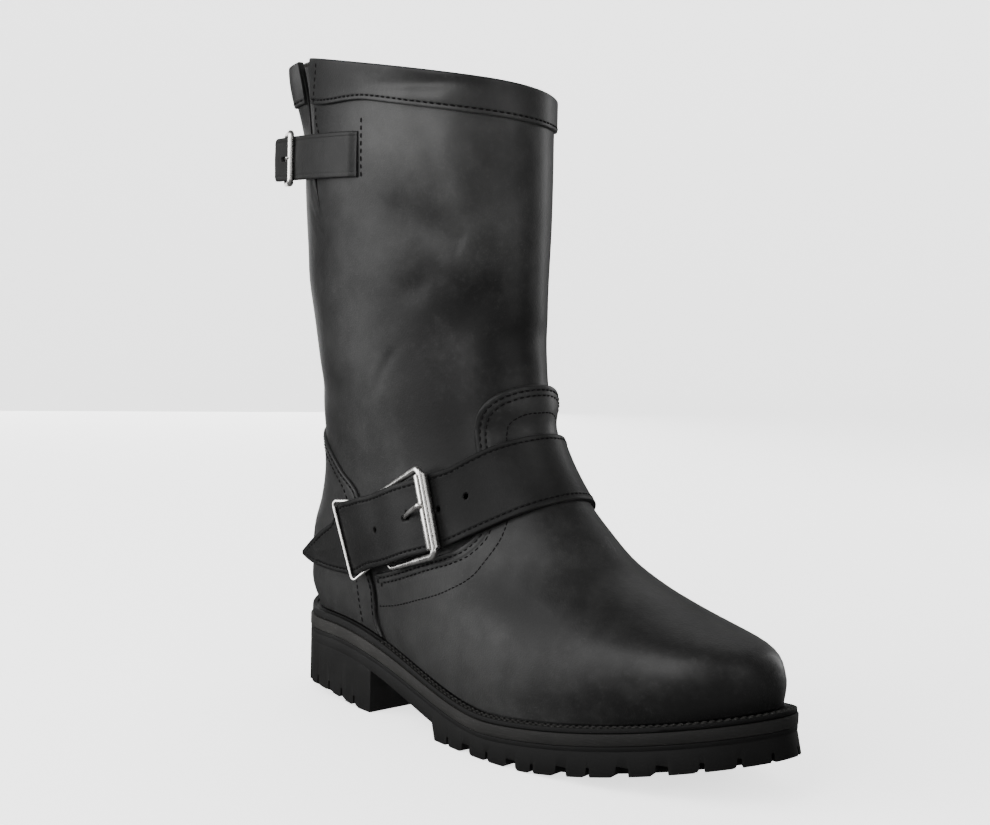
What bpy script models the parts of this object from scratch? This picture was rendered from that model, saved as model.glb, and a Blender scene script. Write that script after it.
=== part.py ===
"""Right motorcycle boot of the engineer kind: pull-on shaft, buckled instep strap, lugged sole.

The upper, its panels, its straps and the layers of the sole are all worked out from one table of
sections. Lengths are millimetres until a mesh is made. The toe is along +X, the outer side of the
foot along -Y, and the floor is z 0 under the middle of the heel.
"""
import math

import bmesh
import bpy
import numpy as np
from mathutils import Matrix, Vector

MM = 0.001

# Clearances and leather
GAP = 0.3
WALL = 2.2
PANEL = 1.6
PANEL_LIFT = 0.35
GUSSET_THICK = 1.4

# Feather line: where the upper meets the sole
SEAT_RISE = 47.5
BALL_RISE = 21.5
SEAT_X = -2.0
BALL_X = 148.0
SPRING_X = 135.0
SPRING_RUN = 137.0
SPRING_RISE = 20.0
SPRING_POWER = 1.68

# Sole layers, from the feather line down
WELT_THICK = 2.4
WELT_GROW = 4.6
WELT_TUCK = 12.0
MIDSOLE_THICK = 5.7
MIDSOLE_GROW = 5.4
OUTSOLE_GROW = 5.2
SOLE_FRONT = 5.0
SOLE_BACK = 2.0
WAIST_THICK = 9.8
INSOLE_THICK = 3.0
INSOLE_INSET = 3.6
TREAD_X = 168.0
TREAD_RUN = 98.0
TREAD_RISE = 17.5
TREAD_POWER = 1.35
TOE_FLARE = 2.2
FLARE_X = 150.0
FLARE_RUN = 110.0
BREAST_X = 43.5
FOREFOOT_X = 102.0
FOREFOOT_SLOPE = 6.0
RIM_RISE = 5.2
RIM_START = 38.0
RIM_RUN = 45.0
RIM_WIDTH = 9.0

# Lugs
LUG_DEPTH = 4.6
RIM_LUG = 15.0
RING_SLOT = 4.0
CENTRE_SLOT = 5.2
CENTRE_SLOTS = (126.0, 144.0, 162.0, 180.0, 198.0, 216.0, 234.0)
SLOT_BELOW = 12.0
SLOT_PAST = 8.0
INNER_SHARE = 0.965
HEEL_SLIT = 1.6
HEEL_SLIT_TALL = 5.0
HEEL_SLIT_DEEP = 9.0
HEEL_SLITS = 8
HEEL_SLIT_FIRST = 6.8
HEEL_SLIT_PITCH = 11.5

# Gaps round the forefoot's edge, by their length along it from the middle of the toe
LUG_COLUMNS = ("run", "width")
LUG_GAPS = ((9.0, 1.8), (24.5, 2.4), (41.0, 2.4), (59.0, 6.0), (78.0, 6.5), (95.7, 1.8), (110.3, 6.0),
            (127.3, 1.8), (140.5, 6.0), (156.7, 1.8), (172.8, 6.0), (188.0, 1.8))

# Collar, slit and gusset
SEAM_LEVEL = 110.0
SIDE_SEAM_X = 46.0
COLLAR_TILT = 0.13
TILT_LEVEL = 180.0
TILT_RUN = 150.0
SHAFT_X = 36.0
BAND_LEVEL = 325.0
SLIT_FRONT = 0.69
SLIT_BACK = 0.745
SLIT_TURN = 0.637
SLIT_FOOT = 266.0
SLIT_INSIDE = -16.0
SLIT_OUTSIDE = 22.0
SLIT_OVER = 8.0
EAR = 9.0
EAR_TURN = 0.785
EAR_SPREAD = 0.05
EAR_LEVEL = 292.0
EAR_TURNS = (0.724, 0.78, 0.83)
GUSSET_LEVELS = (262.0, 280.0, 300.0, 320.0, 339.0)
GUSSET_FOLD = 2.6
GUSSET_LAP = 0.03
GUSSET_CLEAR = 1.0
GUSSET_TUCK = 2.2

# Dips of the collar's line
DIP_COLUMNS = ("turn", "spread", "drop")
COLLAR_DIPS = ((-0.25, 0.22, 9.2), (0.79, 0.05, 5.5))
DIP_LEVEL = 288.0

# Tongue of the vamp, which stands off the shaft
TONGUE_STAND = 3.2
TONGUE_LEVEL = 157.0
TONGUE_RUN = 14.0
TONGUE_TURN = 0.24
TONGUE_FLAT = 0.1
TONGUE_FADE = 0.14

# Flat outlines that trim the panels: how far they reach past them
TRIM_FRONT = 300.0
TRIM_BACK = -90.0
TRIM_FOOT = 10.0
TRIM_SIDE = 80.0
TRIM_OVER = 4.0
TONGUE_BACK = 78.0
TONGUE_FRONT = 220.0
TONGUE_OVER = 8.0
TONGUE_UNDER = 10.0

# Straps and wire
STRAP_THICK = 2.8
WIRE = 1.35
ROLLER_OUTER = 3.6
ROLLER_INNER = 2.4
ROLLER_LENGTH = 39.0
ROLLER_SEAM = 30.0
ROLLER_FACING = 40.0
PRONG = 1.1
STRAP_BOW = 0.7
FRAME_HALF = 22.6
FRAME_CORNER = 4.5
KEEPER_WIRE = 0.9
KEEPER_HALF = 21.8
KEEPER_CORNER = 3.0
BUCKLE_TAB_THICK = 1.4

# Sections of the upper's outer face, a row for each level
COLUMNS = ("level", "follow", "back", "front", "wide", "outer", "inner", "heel", "waist",
           "swing", "power", "round")
SECTIONS = (
    (30, 1.00, -30.0, 268.5, 152.0, 49.0, 47.5, 31.5, 4.5, 17.0, 2.05, 42.0),
    (46, 0.85, -36.5, 269.0, 152.0, 49.0, 48.0, 33.0, 3.5, 14.5, 2.30, 41.0),
    (62, 0.60, -36.5, 259.5, 146.0, 47.5, 47.0, 33.5, 2.0, 12.5, 2.35, 41.0),
    (78, 0.35, -36.5, 219.0, 128.0, 45.0, 44.0, 34.0, 1.0, 9.5, 2.25, 42.0),
    (92, 0.18, -35.0, 186.0, 108.0, 42.5, 42.5, 34.5, 0.0, 6.5, 2.10, 45.0),
    (108, 0.06, -31.0, 166.0, 86.0, 41.0, 41.0, 35.0, 0.0, 4.5, 2.00, 52.0),
    (128, 0.00, -28.5, 145.5, 62.0, 40.5, 40.5, 36.5, 0.0, 3.0, 2.00, 60.0),
    (150, 0.00, -31.0, 130.5, 48.0, 42.0, 42.0, 39.5, 0.0, 1.5, 2.00, 68.0),
    (180, 0.00, -32.5, 121.5, 42.0, 45.0, 45.0, 43.5, 0.0, 0.5, 2.00, 70.0),
    (220, 0.00, -39.0, 118.2, 38.0, 48.5, 48.5, 48.0, 0.0, 0.0, 2.00, 72.0),
    (270, 0.00, -41.5, 117.0, 36.5, 53.0, 53.0, 53.0, 0.0, 0.0, 2.00, 72.0),
    (345, 0.00, -38.0, 113.5, 36.0, 55.0, 57.0, 57.0, 0.0, 0.0, 2.00, 72.0),
)
TABLE = np.array(SECTIONS, float)
FOOT_LEVEL = TABLE[0, 0]
COLLAR_LEVEL = TABLE[-1, 0]

# Levels that the meshes of the upper and its panels share
LEVELS = (30, 39, 49, 60, 71, 82, 93, 104, 116, 128, 141, 156, 175, 200, 235, 272, 300, 325, 345)
PANEL_FOOT = 32.5
TONGUE_LEVELS = (166.0, 183.0)
BAND_MIDDLE = 334.0

# Instep strap, a row for each station from its inner end to the buckle, then from the keeper on
STRAP_COLUMNS = ("low_turn", "low_level", "high_turn", "high_level", "lift")
STRAP_FRONT = (
    (-0.66, 72.0, -0.60, 113.0, 2.6),
    (-0.54, 87.0, -0.46, 125.0, 2.6),
    (-0.40, 97.5, -0.34, 132.5, 2.6),
    (-0.27, 106.5, -0.23, 141.0, 2.7),
    (-0.18, 114.0, -0.16, 149.0, 2.8),
    (-0.09, 120.5, -0.08, 153.5, 2.8),
    (0.00, 123.0, 0.00, 156.0, 2.8),
    (0.09, 120.5, 0.08, 153.5, 2.8),
    (0.18, 114.0, 0.16, 149.0, 2.8),
    (0.27, 106.5, 0.23, 141.0, 3.2),
)
STRAP_TAIL = (
    (0.745, 67.0, 0.722, 97.5, 5.2),
    (0.80, 64.8, 0.772, 89.9, 5.8),
    (0.842, 67.4, 0.826, 79.5, 6.4),
    (0.868, 69.6, 0.866, 72.6, 6.8),
)
STRAP_HALF = 19.2

# Tab under the strap that holds the buckle, in the strap's columns
BUCKLE_TAB = (
    (0.713, 75.0, 0.663, 99.0, 2.3),
    (0.663, 80.5, 0.613, 104.0, 2.3),
    (0.618, 85.0, 0.568, 108.0, 2.3),
    (0.578, 88.0, 0.528, 112.0, 2.3),
)

# Edges of the vamp and of the counter, from the sole up
EDGE_COLUMNS = ("turn", "level")
VAMP_EDGE = ((0.704, 31.5), (0.708, 40.0), (0.702, 54.3), (0.694, 65.0), (0.682, 70.3), (0.655, 73.2),
             (0.60, 78.5), (0.518, 85.5), (0.44, 91.5), (0.376, 96.2), (0.312, 102.0), (0.258, 110.0),
             (0.222, 121.0), (0.198, 134.0), (0.182, 148.0), (0.168, 161.0), (0.151, 168.0),
             (0.12, 174.2), (0.074, 178.7), (0.0, 181.0))
COUNTER_EDGE = ((0.716, 31.5), (0.72, 38.0), (0.713, 49.6), (0.706, 66.0), (0.69, 80.0), (0.665, 97.0),
                (0.645, 110.0), (0.65, 117.5), (0.709, 128.5), (0.788, 139.7), (0.88, 147.5),
                (0.95, 150.5), (1.0, 151.0))

# Strap at the collar, in lengths along its line past where it leaves the shaft
TOP_LEVEL = 297.9
TOP_HALF = 11.9
TOP_THICK = 2.2
TOP_LIFT = 0.4
TOP_START = 0.464
TOP_LEAVE = 0.60
TOP_BAR = 32.0
TOP_PIVOT = 51.0
TOP_FREE = 59.0
TOP_TIP = 0.86
TOP_CURL = 0.0016
TOP_WIRE = 1.1
TOP_PRONG = 0.8
TOP_FRAME_HALF = 13.6
TOP_FRAME_CORNER = 2.5
TOP_TAB_HALF = 9.0
TOP_TAB_THICK = 1.6
TOP_TAB_TURNS = (0.92, 0.80)


def ease(t):
    """Smooth step from 0 to 1."""
    t = np.clip(t, 0.0, 1.0)
    return t * t * (3.0 - 2.0 * t)


def curve_through(keys, rows, at):
    """Rows of numbers at any key, on smooth curves through the rows given."""
    span = np.diff(keys)[:, None]
    rise = np.diff(rows, axis=0) / span
    inner = (rise[:-1] * span[1:] + rise[1:] * span[:-1]) / (span[1:] + span[:-1])
    slope = np.vstack([rise[:1], inner, rise[-1:]])
    i = int(np.clip(np.searchsorted(keys, at, side="right") - 1, 0, len(keys) - 2))
    w = span[i, 0]
    t = (at - keys[i]) / w
    return ((2 * t ** 3 - 3 * t ** 2 + 1) * rows[i] + (t ** 3 - 2 * t ** 2 + t) * w * slope[i]
            + (3 * t ** 2 - 2 * t ** 3) * rows[i + 1] + (t ** 3 - t ** 2) * w * slope[i + 1])


def section(level):
    """Every column of the section table at any level."""
    return dict(zip(COLUMNS, curve_through(TABLE[:, 0], TABLE, level)))


def half_plan(s, side, grow=0.0):
    """Plan curve of one side of a section, from the middle of the toe to the middle of the heel."""
    half = (s["outer"] if side < 0 else s["inner"]) + grow
    heel = s["heel"] + grow
    back = s["back"] - grow
    front = s["front"] + grow
    turn = np.linspace(math.pi / 2, 0.0, 72)
    x_fore = s["wide"] + (front - s["wide"]) * np.sin(turn) ** (2 / s["power"])
    y_fore = half * np.abs(np.cos(turn)) ** (2 / s["power"])
    share = np.linspace(1.0, 0.0, 72)[1:] ** 2
    run = s["wide"] - back
    x_rear = back + run * share
    spread = heel + (half - heel) * (0.5 * share + 0.5 * ease(share))
    spread = spread - s["waist"] * np.sin(math.pi * share) ** 2
    bend = np.clip(1.0 - (x_rear - back) / min(s["round"], run), 0.0, 1.0)
    y_rear = spread * (1.0 - bend ** 2.2) ** (1 / 2.2)
    x = np.concatenate([x_fore, x_rear])
    y = np.concatenate([y_fore, y_rear])
    swing = s["swing"] * np.clip((x - back) / (front - back), 0.0, 1.0) ** 2
    return x, side * y + swing


def plan_ring(s, shares, grow=0.0):
    """Closed plan loop: down the outer side from toe to heel, then up the inner side."""
    sides = []
    for side in (-1, 1):
        x, y = half_plan(s, side, grow)
        run = np.concatenate([[0.0], np.cumsum(np.hypot(np.diff(x), np.diff(y)))])
        run = run / run[-1]
        sides.append(np.stack([np.interp(shares, run, x), np.interp(shares, run, y)], axis=1))
    return np.concatenate([sides[0], sides[1][-2:0:-1]])


def shares_for(count):
    """Fractions along one side, closer together at the toe and the heel."""
    t = np.linspace(0.0, 1.0, count)
    return t - 0.35 * np.sin(2 * math.pi * t) / (2 * math.pi)


def feather(x):
    """Height of the line where the upper meets the sole."""
    down = SEAT_RISE + (BALL_RISE - SEAT_RISE) * ease((x - SEAT_X) / (BALL_X - SEAT_X))
    return down + SPRING_RISE * np.clip((x - SPRING_X) / SPRING_RUN, 0.0, 2.0) ** SPRING_POWER


def tread(x):
    """Height of the bottom of the sole: flat from the heel to the ball, rising to the toe."""
    return TREAD_RISE * np.clip((x - TREAD_X) / TREAD_RUN, 0.0, 2.0) ** TREAD_POWER


def heel_rim(x):
    """Height of the heel's lower rim, which is bevelled up toward the back."""
    return RIM_RISE * ease((RIM_START - x) / RIM_RUN)


def collar_dip(turns):
    """How far the collar's line dips at each turn."""
    dip = np.zeros(len(turns))
    for turn, spread, drop in COLLAR_DIPS:
        away = np.mod(turns - turn + 1.0, 2.0) - 1.0
        dip = dip + drop * np.exp(-(away / spread) ** 2)
    return dip


class Last:
    """Outer face of the upper as a fine grid of points and normals, read at any place on it.

    A place is a turn, from 0 at the toe's middle to 1 at the heel's middle down the outer side and
    on to 2 at the toe up the inner side, and a level of the section table.
    """

    def __init__(self):
        self.levels = np.linspace(FOOT_LEVEL, COLLAR_LEVEL, 127)
        self.half = 120
        shares = np.linspace(0.0, 1.0, self.half + 1)
        turns = np.arange(2 * self.half) / self.half
        rings = []
        for level in self.levels:
            s = section(level)
            plan = plan_ring(s, shares)
            drop = s["follow"] * (feather(plan[:, 0]) - FOOT_LEVEL)
            lean = COLLAR_TILT * ease((level - TILT_LEVEL) / TILT_RUN) * (SHAFT_X - plan[:, 0])
            dip = collar_dip(turns) * ease((level - DIP_LEVEL) / (COLLAR_LEVEL - DIP_LEVEL))
            rings.append(np.column_stack([plan, level + drop + lean - dip]))
        self.points = np.array(rings)
        ear = EAR * np.exp(-((turns - EAR_TURN) / EAR_SPREAD) ** 2)
        rise = ease((self.levels - EAR_LEVEL) / (COLLAR_LEVEL - EAR_LEVEL))
        self.points = self.points + (rise[:, None] * ear[None, :])[..., None] * self.facing()
        self.normals = self.facing()

    def facing(self):
        """Outward normals of the grid."""
        along = np.roll(self.points, -1, axis=1) - np.roll(self.points, 1, axis=1)
        up = np.gradient(self.points, axis=0)
        out = np.cross(up, along)
        return out / np.linalg.norm(out, axis=2, keepdims=True)

    def at(self, turn, level, lift=0.0):
        """Points at a turn and level, lifted along the normal."""
        turn = np.asarray(turn, float)
        level = np.asarray(level, float)
        turn, level = np.broadcast_arrays(turn, level)
        a = np.mod(turn, 2.0) * self.half
        b = (level - FOOT_LEVEL) / (COLLAR_LEVEL - FOOT_LEVEL) * (len(self.levels) - 1)
        b = np.clip(b, 0.0, len(self.levels) - 1.001)
        i, j = a.astype(int) % (2 * self.half), b.astype(int)
        k = (i + 1) % (2 * self.half)
        p, q = (a - np.floor(a))[..., None], (b - j)[..., None]
        result = []
        for grid in (self.points, self.normals):
            low = grid[j, i] * (1 - p) + grid[j, k] * p
            high = grid[j + 1, i] * (1 - p) + grid[j + 1, k] * p
            result.append(low * (1 - q) + high * q)
        return result[0] + np.asarray(lift, float)[..., None] * result[1]


LAST = Last()


# Scene helpers


def clear_scene():
    """Empty the scene and make the two collections."""
    for item in list(bpy.data.objects):
        bpy.data.objects.remove(item, do_unlink=True)
    made = []
    for title in ("motorcycle_boot", "cutters"):
        group = bpy.data.collections.new(title)
        bpy.context.scene.collection.children.link(group)
        made.append(group)
    return made


PARTS, CUTTERS = clear_scene()


def material(name, colour, roughness, metallic=0.0):
    """Principled material of one finish."""
    made = bpy.data.materials.new(name)
    made.use_nodes = True
    shader = made.node_tree.nodes["Principled BSDF"]
    shader.inputs["Base Color"].default_value = (*colour, 1.0)
    shader.inputs["Roughness"].default_value = roughness
    shader.inputs["Metallic"].default_value = metallic
    return made


UPPER_LEATHER = material("upper_leather", (0.022, 0.022, 0.024), 0.45)
PANEL_LEATHER = material("panel_leather", (0.024, 0.024, 0.026), 0.45)
STRAP_LEATHER = material("strap_leather", (0.024, 0.024, 0.026), 0.48)
LINING = material("insole_leather", (0.10, 0.08, 0.06), 0.7)
WELT_RUBBER = material("welt_black", (0.02, 0.02, 0.02), 0.6)
BAND_RUBBER = material("midsole_rubber", (0.10, 0.095, 0.09), 0.65)
TREAD_RUBBER = material("tread_rubber", (0.035, 0.035, 0.036), 0.7)
NICKEL = material("nickel", (0.75, 0.74, 0.72), 0.2, 1.0)


def add_object(name, data, finish, group):
    """Link a mesh or curve to a collection under its name."""
    made = bpy.data.objects.new(name, data)
    if finish is not None:
        data.materials.append(finish)
    if group is CUTTERS:
        made.hide_render = True
        made.display_type = "WIRE"
    group.objects.link(made)
    return made


def mesh_object(name, points, faces, finish=None, group=None):
    """Mesh object from millimetre points, with its faces turned outwards."""
    data = bpy.data.meshes.new(name)
    data.from_pydata([tuple(p) for p in np.asarray(points, float) * MM], [], faces)
    bm = bmesh.new()
    bm.from_mesh(data)
    bmesh.ops.recalc_face_normals(bm, faces=bm.faces)
    bm.to_mesh(data)
    bm.free()
    data.shade_smooth()
    data.set_sharp_from_angle(angle=math.radians(35.0))
    return add_object(name, data, finish, group or PARTS)


def tube_faces(rows, columns, cyclic=True):
    """Quads of a grid whose columns close on themselves when cyclic."""
    last = columns if cyclic else columns - 1
    faces = []
    for i in range(rows - 1):
        for j in range(last):
            k = (j + 1) % columns
            low, high = i * columns, (i + 1) * columns
            faces.append((low + j, low + k, high + k, high + j))
    return faces


def cap_faces(columns, start):
    """Strip of quads across a ring whose first half is one side and second half the other."""
    half = columns // 2
    faces = [(start, start + 1, start + columns - 1)]
    for j in range(1, half - 1):
        faces.append((start + j, start + j + 1, start + columns - j - 1, start + columns - j))
    faces.append((start + half - 1, start + half, start + half + 1))
    return faces


def ring_solid(name, rings, finish=None, group=None):
    """Closed solid lofted through rings from top to bottom, capped at both ends."""
    columns = len(rings[0])
    faces = tube_faces(len(rings), columns)
    faces += cap_faces(columns, 0) + cap_faces(columns, (len(rings) - 1) * columns)
    return mesh_object(name, np.concatenate(rings), faces, finish, group)


def ring_band(name, rings, finish=None, group=None):
    """Closed ring-shaped solid lofted through rings whose last meets the first."""
    columns = len(rings[0])
    faces = tube_faces(len(rings), columns)
    top = (len(rings) - 1) * columns
    faces += [(top + j, top + (j + 1) % columns, (j + 1) % columns, j) for j in range(columns)]
    return mesh_object(name, np.concatenate(rings), faces, finish, group)


def boolean(item, cutter, operation):
    """Boolean with a cutter object."""
    step = item.modifiers.new(operation.lower(), "BOOLEAN")
    step.object = cutter
    step.operation = operation
    step.solver = "EXACT"


def thicken(item, thickness, side):
    """Solidify a sheet: side 1 grows along its normals, -1 against them."""
    step = item.modifiers.new("thickness", "SOLIDIFY")
    step.thickness = thickness * MM
    step.offset = side
    step.use_even_offset = True


def sheet(name, turns, levels, lift, thickness, side, finish, group, cyclic, more=None):
    """Leather sheet that follows the last, thickened to one side, with more lift where it stands off."""
    grid_turn, grid_level = np.meshgrid(np.asarray(turns, float), np.asarray(levels, float))
    raised = lift if more is None else lift + more(grid_turn, grid_level)
    points = LAST.at(grid_turn, grid_level, raised)
    faces = tube_faces(len(levels), len(turns), cyclic)
    made = mesh_object(name, points.reshape(-1, 3), faces, finish, group)
    flip_outwards(made)
    thicken(made, thickness, side)
    return made


def flip_outwards(item):
    """Turn an open sheet's normals away from the inside of the boot."""
    bm = bmesh.new()
    bm.from_mesh(item.data)
    bm.faces.ensure_lookup_table()
    middle = bm.faces[len(bm.faces) // 2]
    inside = Vector((0.04, 0.0, middle.calc_center_median().z))
    if middle.normal.dot(middle.calc_center_median() - inside) < 0:
        bmesh.ops.reverse_faces(bm, faces=bm.faces)
    bm.to_mesh(item.data)
    bm.free()


BOX_FACES = ((0, 1, 2, 3), (7, 6, 5, 4), (0, 4, 5, 1), (1, 5, 6, 2), (2, 6, 7, 3), (3, 7, 4, 0))


def box_corners(centre, along, half_along, half_across, low, high):
    """Corners of an upright box turned to a direction in plan."""
    across = np.array([-along[1], along[0]])
    corners = []
    for z in (low, high):
        for a, b in ((-1, -1), (1, -1), (1, 1), (-1, 1)):
            spot = centre + a * half_along * along + b * half_across * across
            corners.append((spot[0], spot[1], z))
    return corners


def boxes_object(name, boxes):
    """One cutter mesh of boxes that don't touch."""
    points = []
    faces = []
    for corners in boxes:
        start = len(points)
        points += corners
        faces += [tuple(start + k for k in face) for face in BOX_FACES]
    return mesh_object(name, points, faces, None, CUTTERS)


def profile_prism(name, outline, plane, low, high):
    """Prism of a flat outline, drawn in the side view (xz) or the front view (yz)."""
    ends = []
    for depth in (low, high):
        for a, b in outline:
            ends.append((a, depth, b) if plane == "xz" else (depth, a, b))
    count = len(outline)
    faces = [tuple(range(count)), tuple(range(2 * count - 1, count - 1, -1))]
    faces += [(j, (j + 1) % count, count + (j + 1) % count, count + j) for j in range(count)]
    return mesh_object(name, ends, faces, None, CUTTERS)


# Sole


SOLE_SHARES = shares_for(27)


def sole_plan(reach=1.0):
    """Outline of the sole: the foot of the upper, reaching further at the toe and the heel."""
    s = section(FOOT_LEVEL)
    s["front"] += reach * SOLE_FRONT
    s["back"] -= reach * SOLE_BACK
    return s


def sole_ring(grow, height, flare=0.0, reach=1.0):
    """Ring of the sole's outline at a height function of x."""
    s = sole_plan(reach)
    plan = plan_ring(s, SOLE_SHARES, grow)
    if flare:
        wide = plan_ring(s, SOLE_SHARES, grow + flare)
        plan = plan + (wide - plan) * ease((plan[:, :1] - FLARE_X) / FLARE_RUN)
    return np.column_stack([plan, height(plan[:, 0])])


def welt_top(x):
    return feather(x) - GAP


def midsole_top(x):
    return feather(x) - 2 * GAP - WELT_THICK


def outsole_top(x):
    return midsole_top(x) - MIDSOLE_THICK - GAP


def make_welt():
    rings = [sole_ring(WELT_GROW, welt_top),
             sole_ring(WELT_GROW, lambda x: welt_top(x) - WELT_THICK),
             sole_ring(-WELT_TUCK, lambda x: welt_top(x) - WELT_THICK),
             sole_ring(-WELT_TUCK, welt_top)]
    ring_band("welt", rings, WELT_RUBBER)


def make_midsole():
    rings = [sole_ring(MIDSOLE_GROW, lambda x: midsole_top(x) - MIDSOLE_THICK),
             sole_ring(MIDSOLE_GROW, lambda x: midsole_top(x) - 1.0),
             sole_ring(WELT_GROW, midsole_top),
             sole_ring(-WELT_TUCK, midsole_top)]
    ring_solid("midsole", rings, BAND_RUBBER)


def make_insole():
    rings = [sole_ring(-INSOLE_INSET, lambda x: feather(x) + GAP + INSOLE_THICK, reach=0.0),
             sole_ring(-INSOLE_INSET, lambda x: feather(x) + GAP, reach=0.0)]
    ring_solid("insole", rings, LINING)


def edge_walk(side):
    """Function from a length along the sole's edge to a spot, its direction and the way inward."""
    x, y = half_plan(sole_plan(), side, OUTSOLE_GROW)
    run = np.concatenate([[0.0], np.cumsum(np.hypot(np.diff(x), np.diff(y)))])

    def walk(at):
        spot = np.array([np.interp(at, run, x), np.interp(at, run, y)])
        ahead = np.array([np.interp(at + 1, run, x), np.interp(at + 1, run, y)])
        along = (ahead - spot) / np.linalg.norm(ahead - spot)
        return spot, along, np.array([-along[1], along[0]]) * (-side)
    return walk, run[-1]


def rim_slots():
    """Boxes across the edge of the forefoot, wide gaps and narrow slits."""
    boxes = []
    for side in (-1, 1):
        walk, _ = edge_walk(side)
        for at, width in LUG_GAPS:
            spot, along, inward = walk(at if side < 0 else at * INNER_SHARE)
            low = float(tread(spot[0]))
            centre = spot + inward * (0.5 * (RIM_LUG - SLOT_PAST))
            boxes.append(box_corners(centre, along, 0.5 * width, 0.5 * (RIM_LUG + SLOT_PAST),
                                     low - SLOT_BELOW, low + LUG_DEPTH))
    return boxes


def centre_slots():
    """Boxes across the middle of the forefoot tread."""
    s = sole_plan()
    boxes = []
    for x in CENTRE_SLOTS:
        sides = []
        for side in (-1, 1):
            px, py = half_plan(s, side, OUTSOLE_GROW - RIM_LUG - 0.5 * RING_SLOT)
            sides.append(np.interp(x, px[::-1], py[::-1]))
        centre = np.array([x, 0.5 * (sides[0] + sides[1])])
        low = float(tread(x))
        boxes.append(box_corners(centre, np.array([1.0, 0.0]), 0.5 * CENTRE_SLOT,
                                 0.5 * (sides[1] - sides[0]), low - SLOT_BELOW, low + LUG_DEPTH))
    return boxes


def ring_slot():
    """Groove that parts the rim lugs from the middle of the forefoot."""
    outer = OUTSOLE_GROW - RIM_LUG
    ring = []
    for grow, past in ((outer, 20.0), (outer - RING_SLOT, 24.0)):
        plan = plan_ring(sole_plan(), SOLE_SHARES, grow)
        plan[:, 0] = np.maximum(plan[:, 0], FOREFOOT_X + past)
        ring.append(plan)
    rings = []
    for plan, rise in ((ring[0], LUG_DEPTH), (ring[0], -SLOT_BELOW), (ring[1], -SLOT_BELOW),
                       (ring[1], LUG_DEPTH)):
        rings.append(np.column_stack([plan, tread(plan[:, 0]) + rise]))
    return ring_band("ring_groove", rings, None, CUTTERS)


def arch_cutter():
    """Space under the waist and the heel seat, drawn in the side view."""
    xs = np.linspace(-70.0, FOREFOOT_X, 16)
    line = [(x, float(outsole_top(x)) - WAIST_THICK) for x in xs]
    line += [(FOREFOOT_X + FOREFOOT_SLOPE, -10.0), (-70.0, -10.0)]
    return profile_prism("arch_space", line, "xz", -90.0, 90.0)


def make_outsole():
    def side(depth):
        return lambda x: outsole_top(x) - depth
    rings = [sole_ring(OUTSOLE_GROW - 0.5, side(0.0)),
             sole_ring(OUTSOLE_GROW, side(0.6)),
             sole_ring(OUTSOLE_GROW, side(1.8)),
             sole_ring(OUTSOLE_GROW - 0.9, side(2.3)),
             sole_ring(OUTSOLE_GROW, side(2.9)),
             sole_ring(OUTSOLE_GROW, tread, TOE_FLARE)]
    made = ring_solid("outsole", rings, TREAD_RUBBER)
    boolean(made, arch_cutter(), "DIFFERENCE")
    boolean(made, boxes_object("lug_slots", rim_slots() + centre_slots()), "DIFFERENCE")
    boolean(made, ring_slot(), "DIFFERENCE")


def make_heel():
    rings = [sole_ring(OUTSOLE_GROW, lambda x: outsole_top(x) - WAIST_THICK - GAP),
             sole_ring(OUTSOLE_GROW, heel_rim),
             sole_ring(OUTSOLE_GROW - RIM_WIDTH, np.zeros_like)]
    made = ring_solid("heel", rings, TREAD_RUBBER)
    keep = [(-70.0, -10.0), (BREAST_X, -10.0), (BREAST_X, 70.0), (-70.0, 70.0)]
    boolean(made, profile_prism("heel_length", keep, "xz", -90.0, 90.0), "INTERSECT")
    boxes = []
    for side in (-1, 1):
        walk, length = edge_walk(side)
        for k in range(HEEL_SLITS):
            spot, along, inward = walk(length - HEEL_SLIT_FIRST - HEEL_SLIT_PITCH * k)
            low = float(heel_rim(spot[0]))
            boxes.append(box_corners(spot + inward, along, 0.5 * HEEL_SLIT, HEEL_SLIT_DEEP,
                                     low - SLOT_BELOW, low + HEEL_SLIT_TALL))
    boolean(made, boxes_object("heel_slits", boxes), "DIFFERENCE")


# Upper and the panels laid over it


def upper_turns():
    """Turns round the upper, closer at the toe and the heel."""
    shares = shares_for(21)
    return np.concatenate([shares, 2.0 - shares[-2:0:-1]])


def shaft_turns():
    """Turns round the shaft, with a few more where the flap behind the slit stands off."""
    return np.sort(np.concatenate([upper_turns(), EAR_TURNS]))


def slit_cutter(name):
    """Wedge of the slit at the back of the outer side."""
    corners = []
    for lift in (SLIT_INSIDE, SLIT_OUTSIDE):
        for turn, level in ((SLIT_FRONT, COLLAR_LEVEL), (SLIT_BACK, COLLAR_LEVEL), (SLIT_TURN, SLIT_FOOT)):
            corners.append(LAST.at(turn, level, lift))
    for k in (0, 1, 3, 4):
        corners[k] = corners[k] + np.array([0.0, 0.0, SLIT_OVER])
    faces = ((0, 1, 2), (5, 4, 3), (0, 3, 4, 1), (1, 4, 5, 2), (2, 5, 3, 0))
    return mesh_object(name, corners, faces, None, CUTTERS)


def wall(name, turns, levels):
    """Leather tube between two levels, its inner face set in from the last."""
    outer = [LAST.at(turns, level) for level in levels]
    inner = [LAST.at(turns, level, -WALL) for level in levels]
    return ring_band(name, outer + inner[::-1], UPPER_LEATHER)


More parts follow.
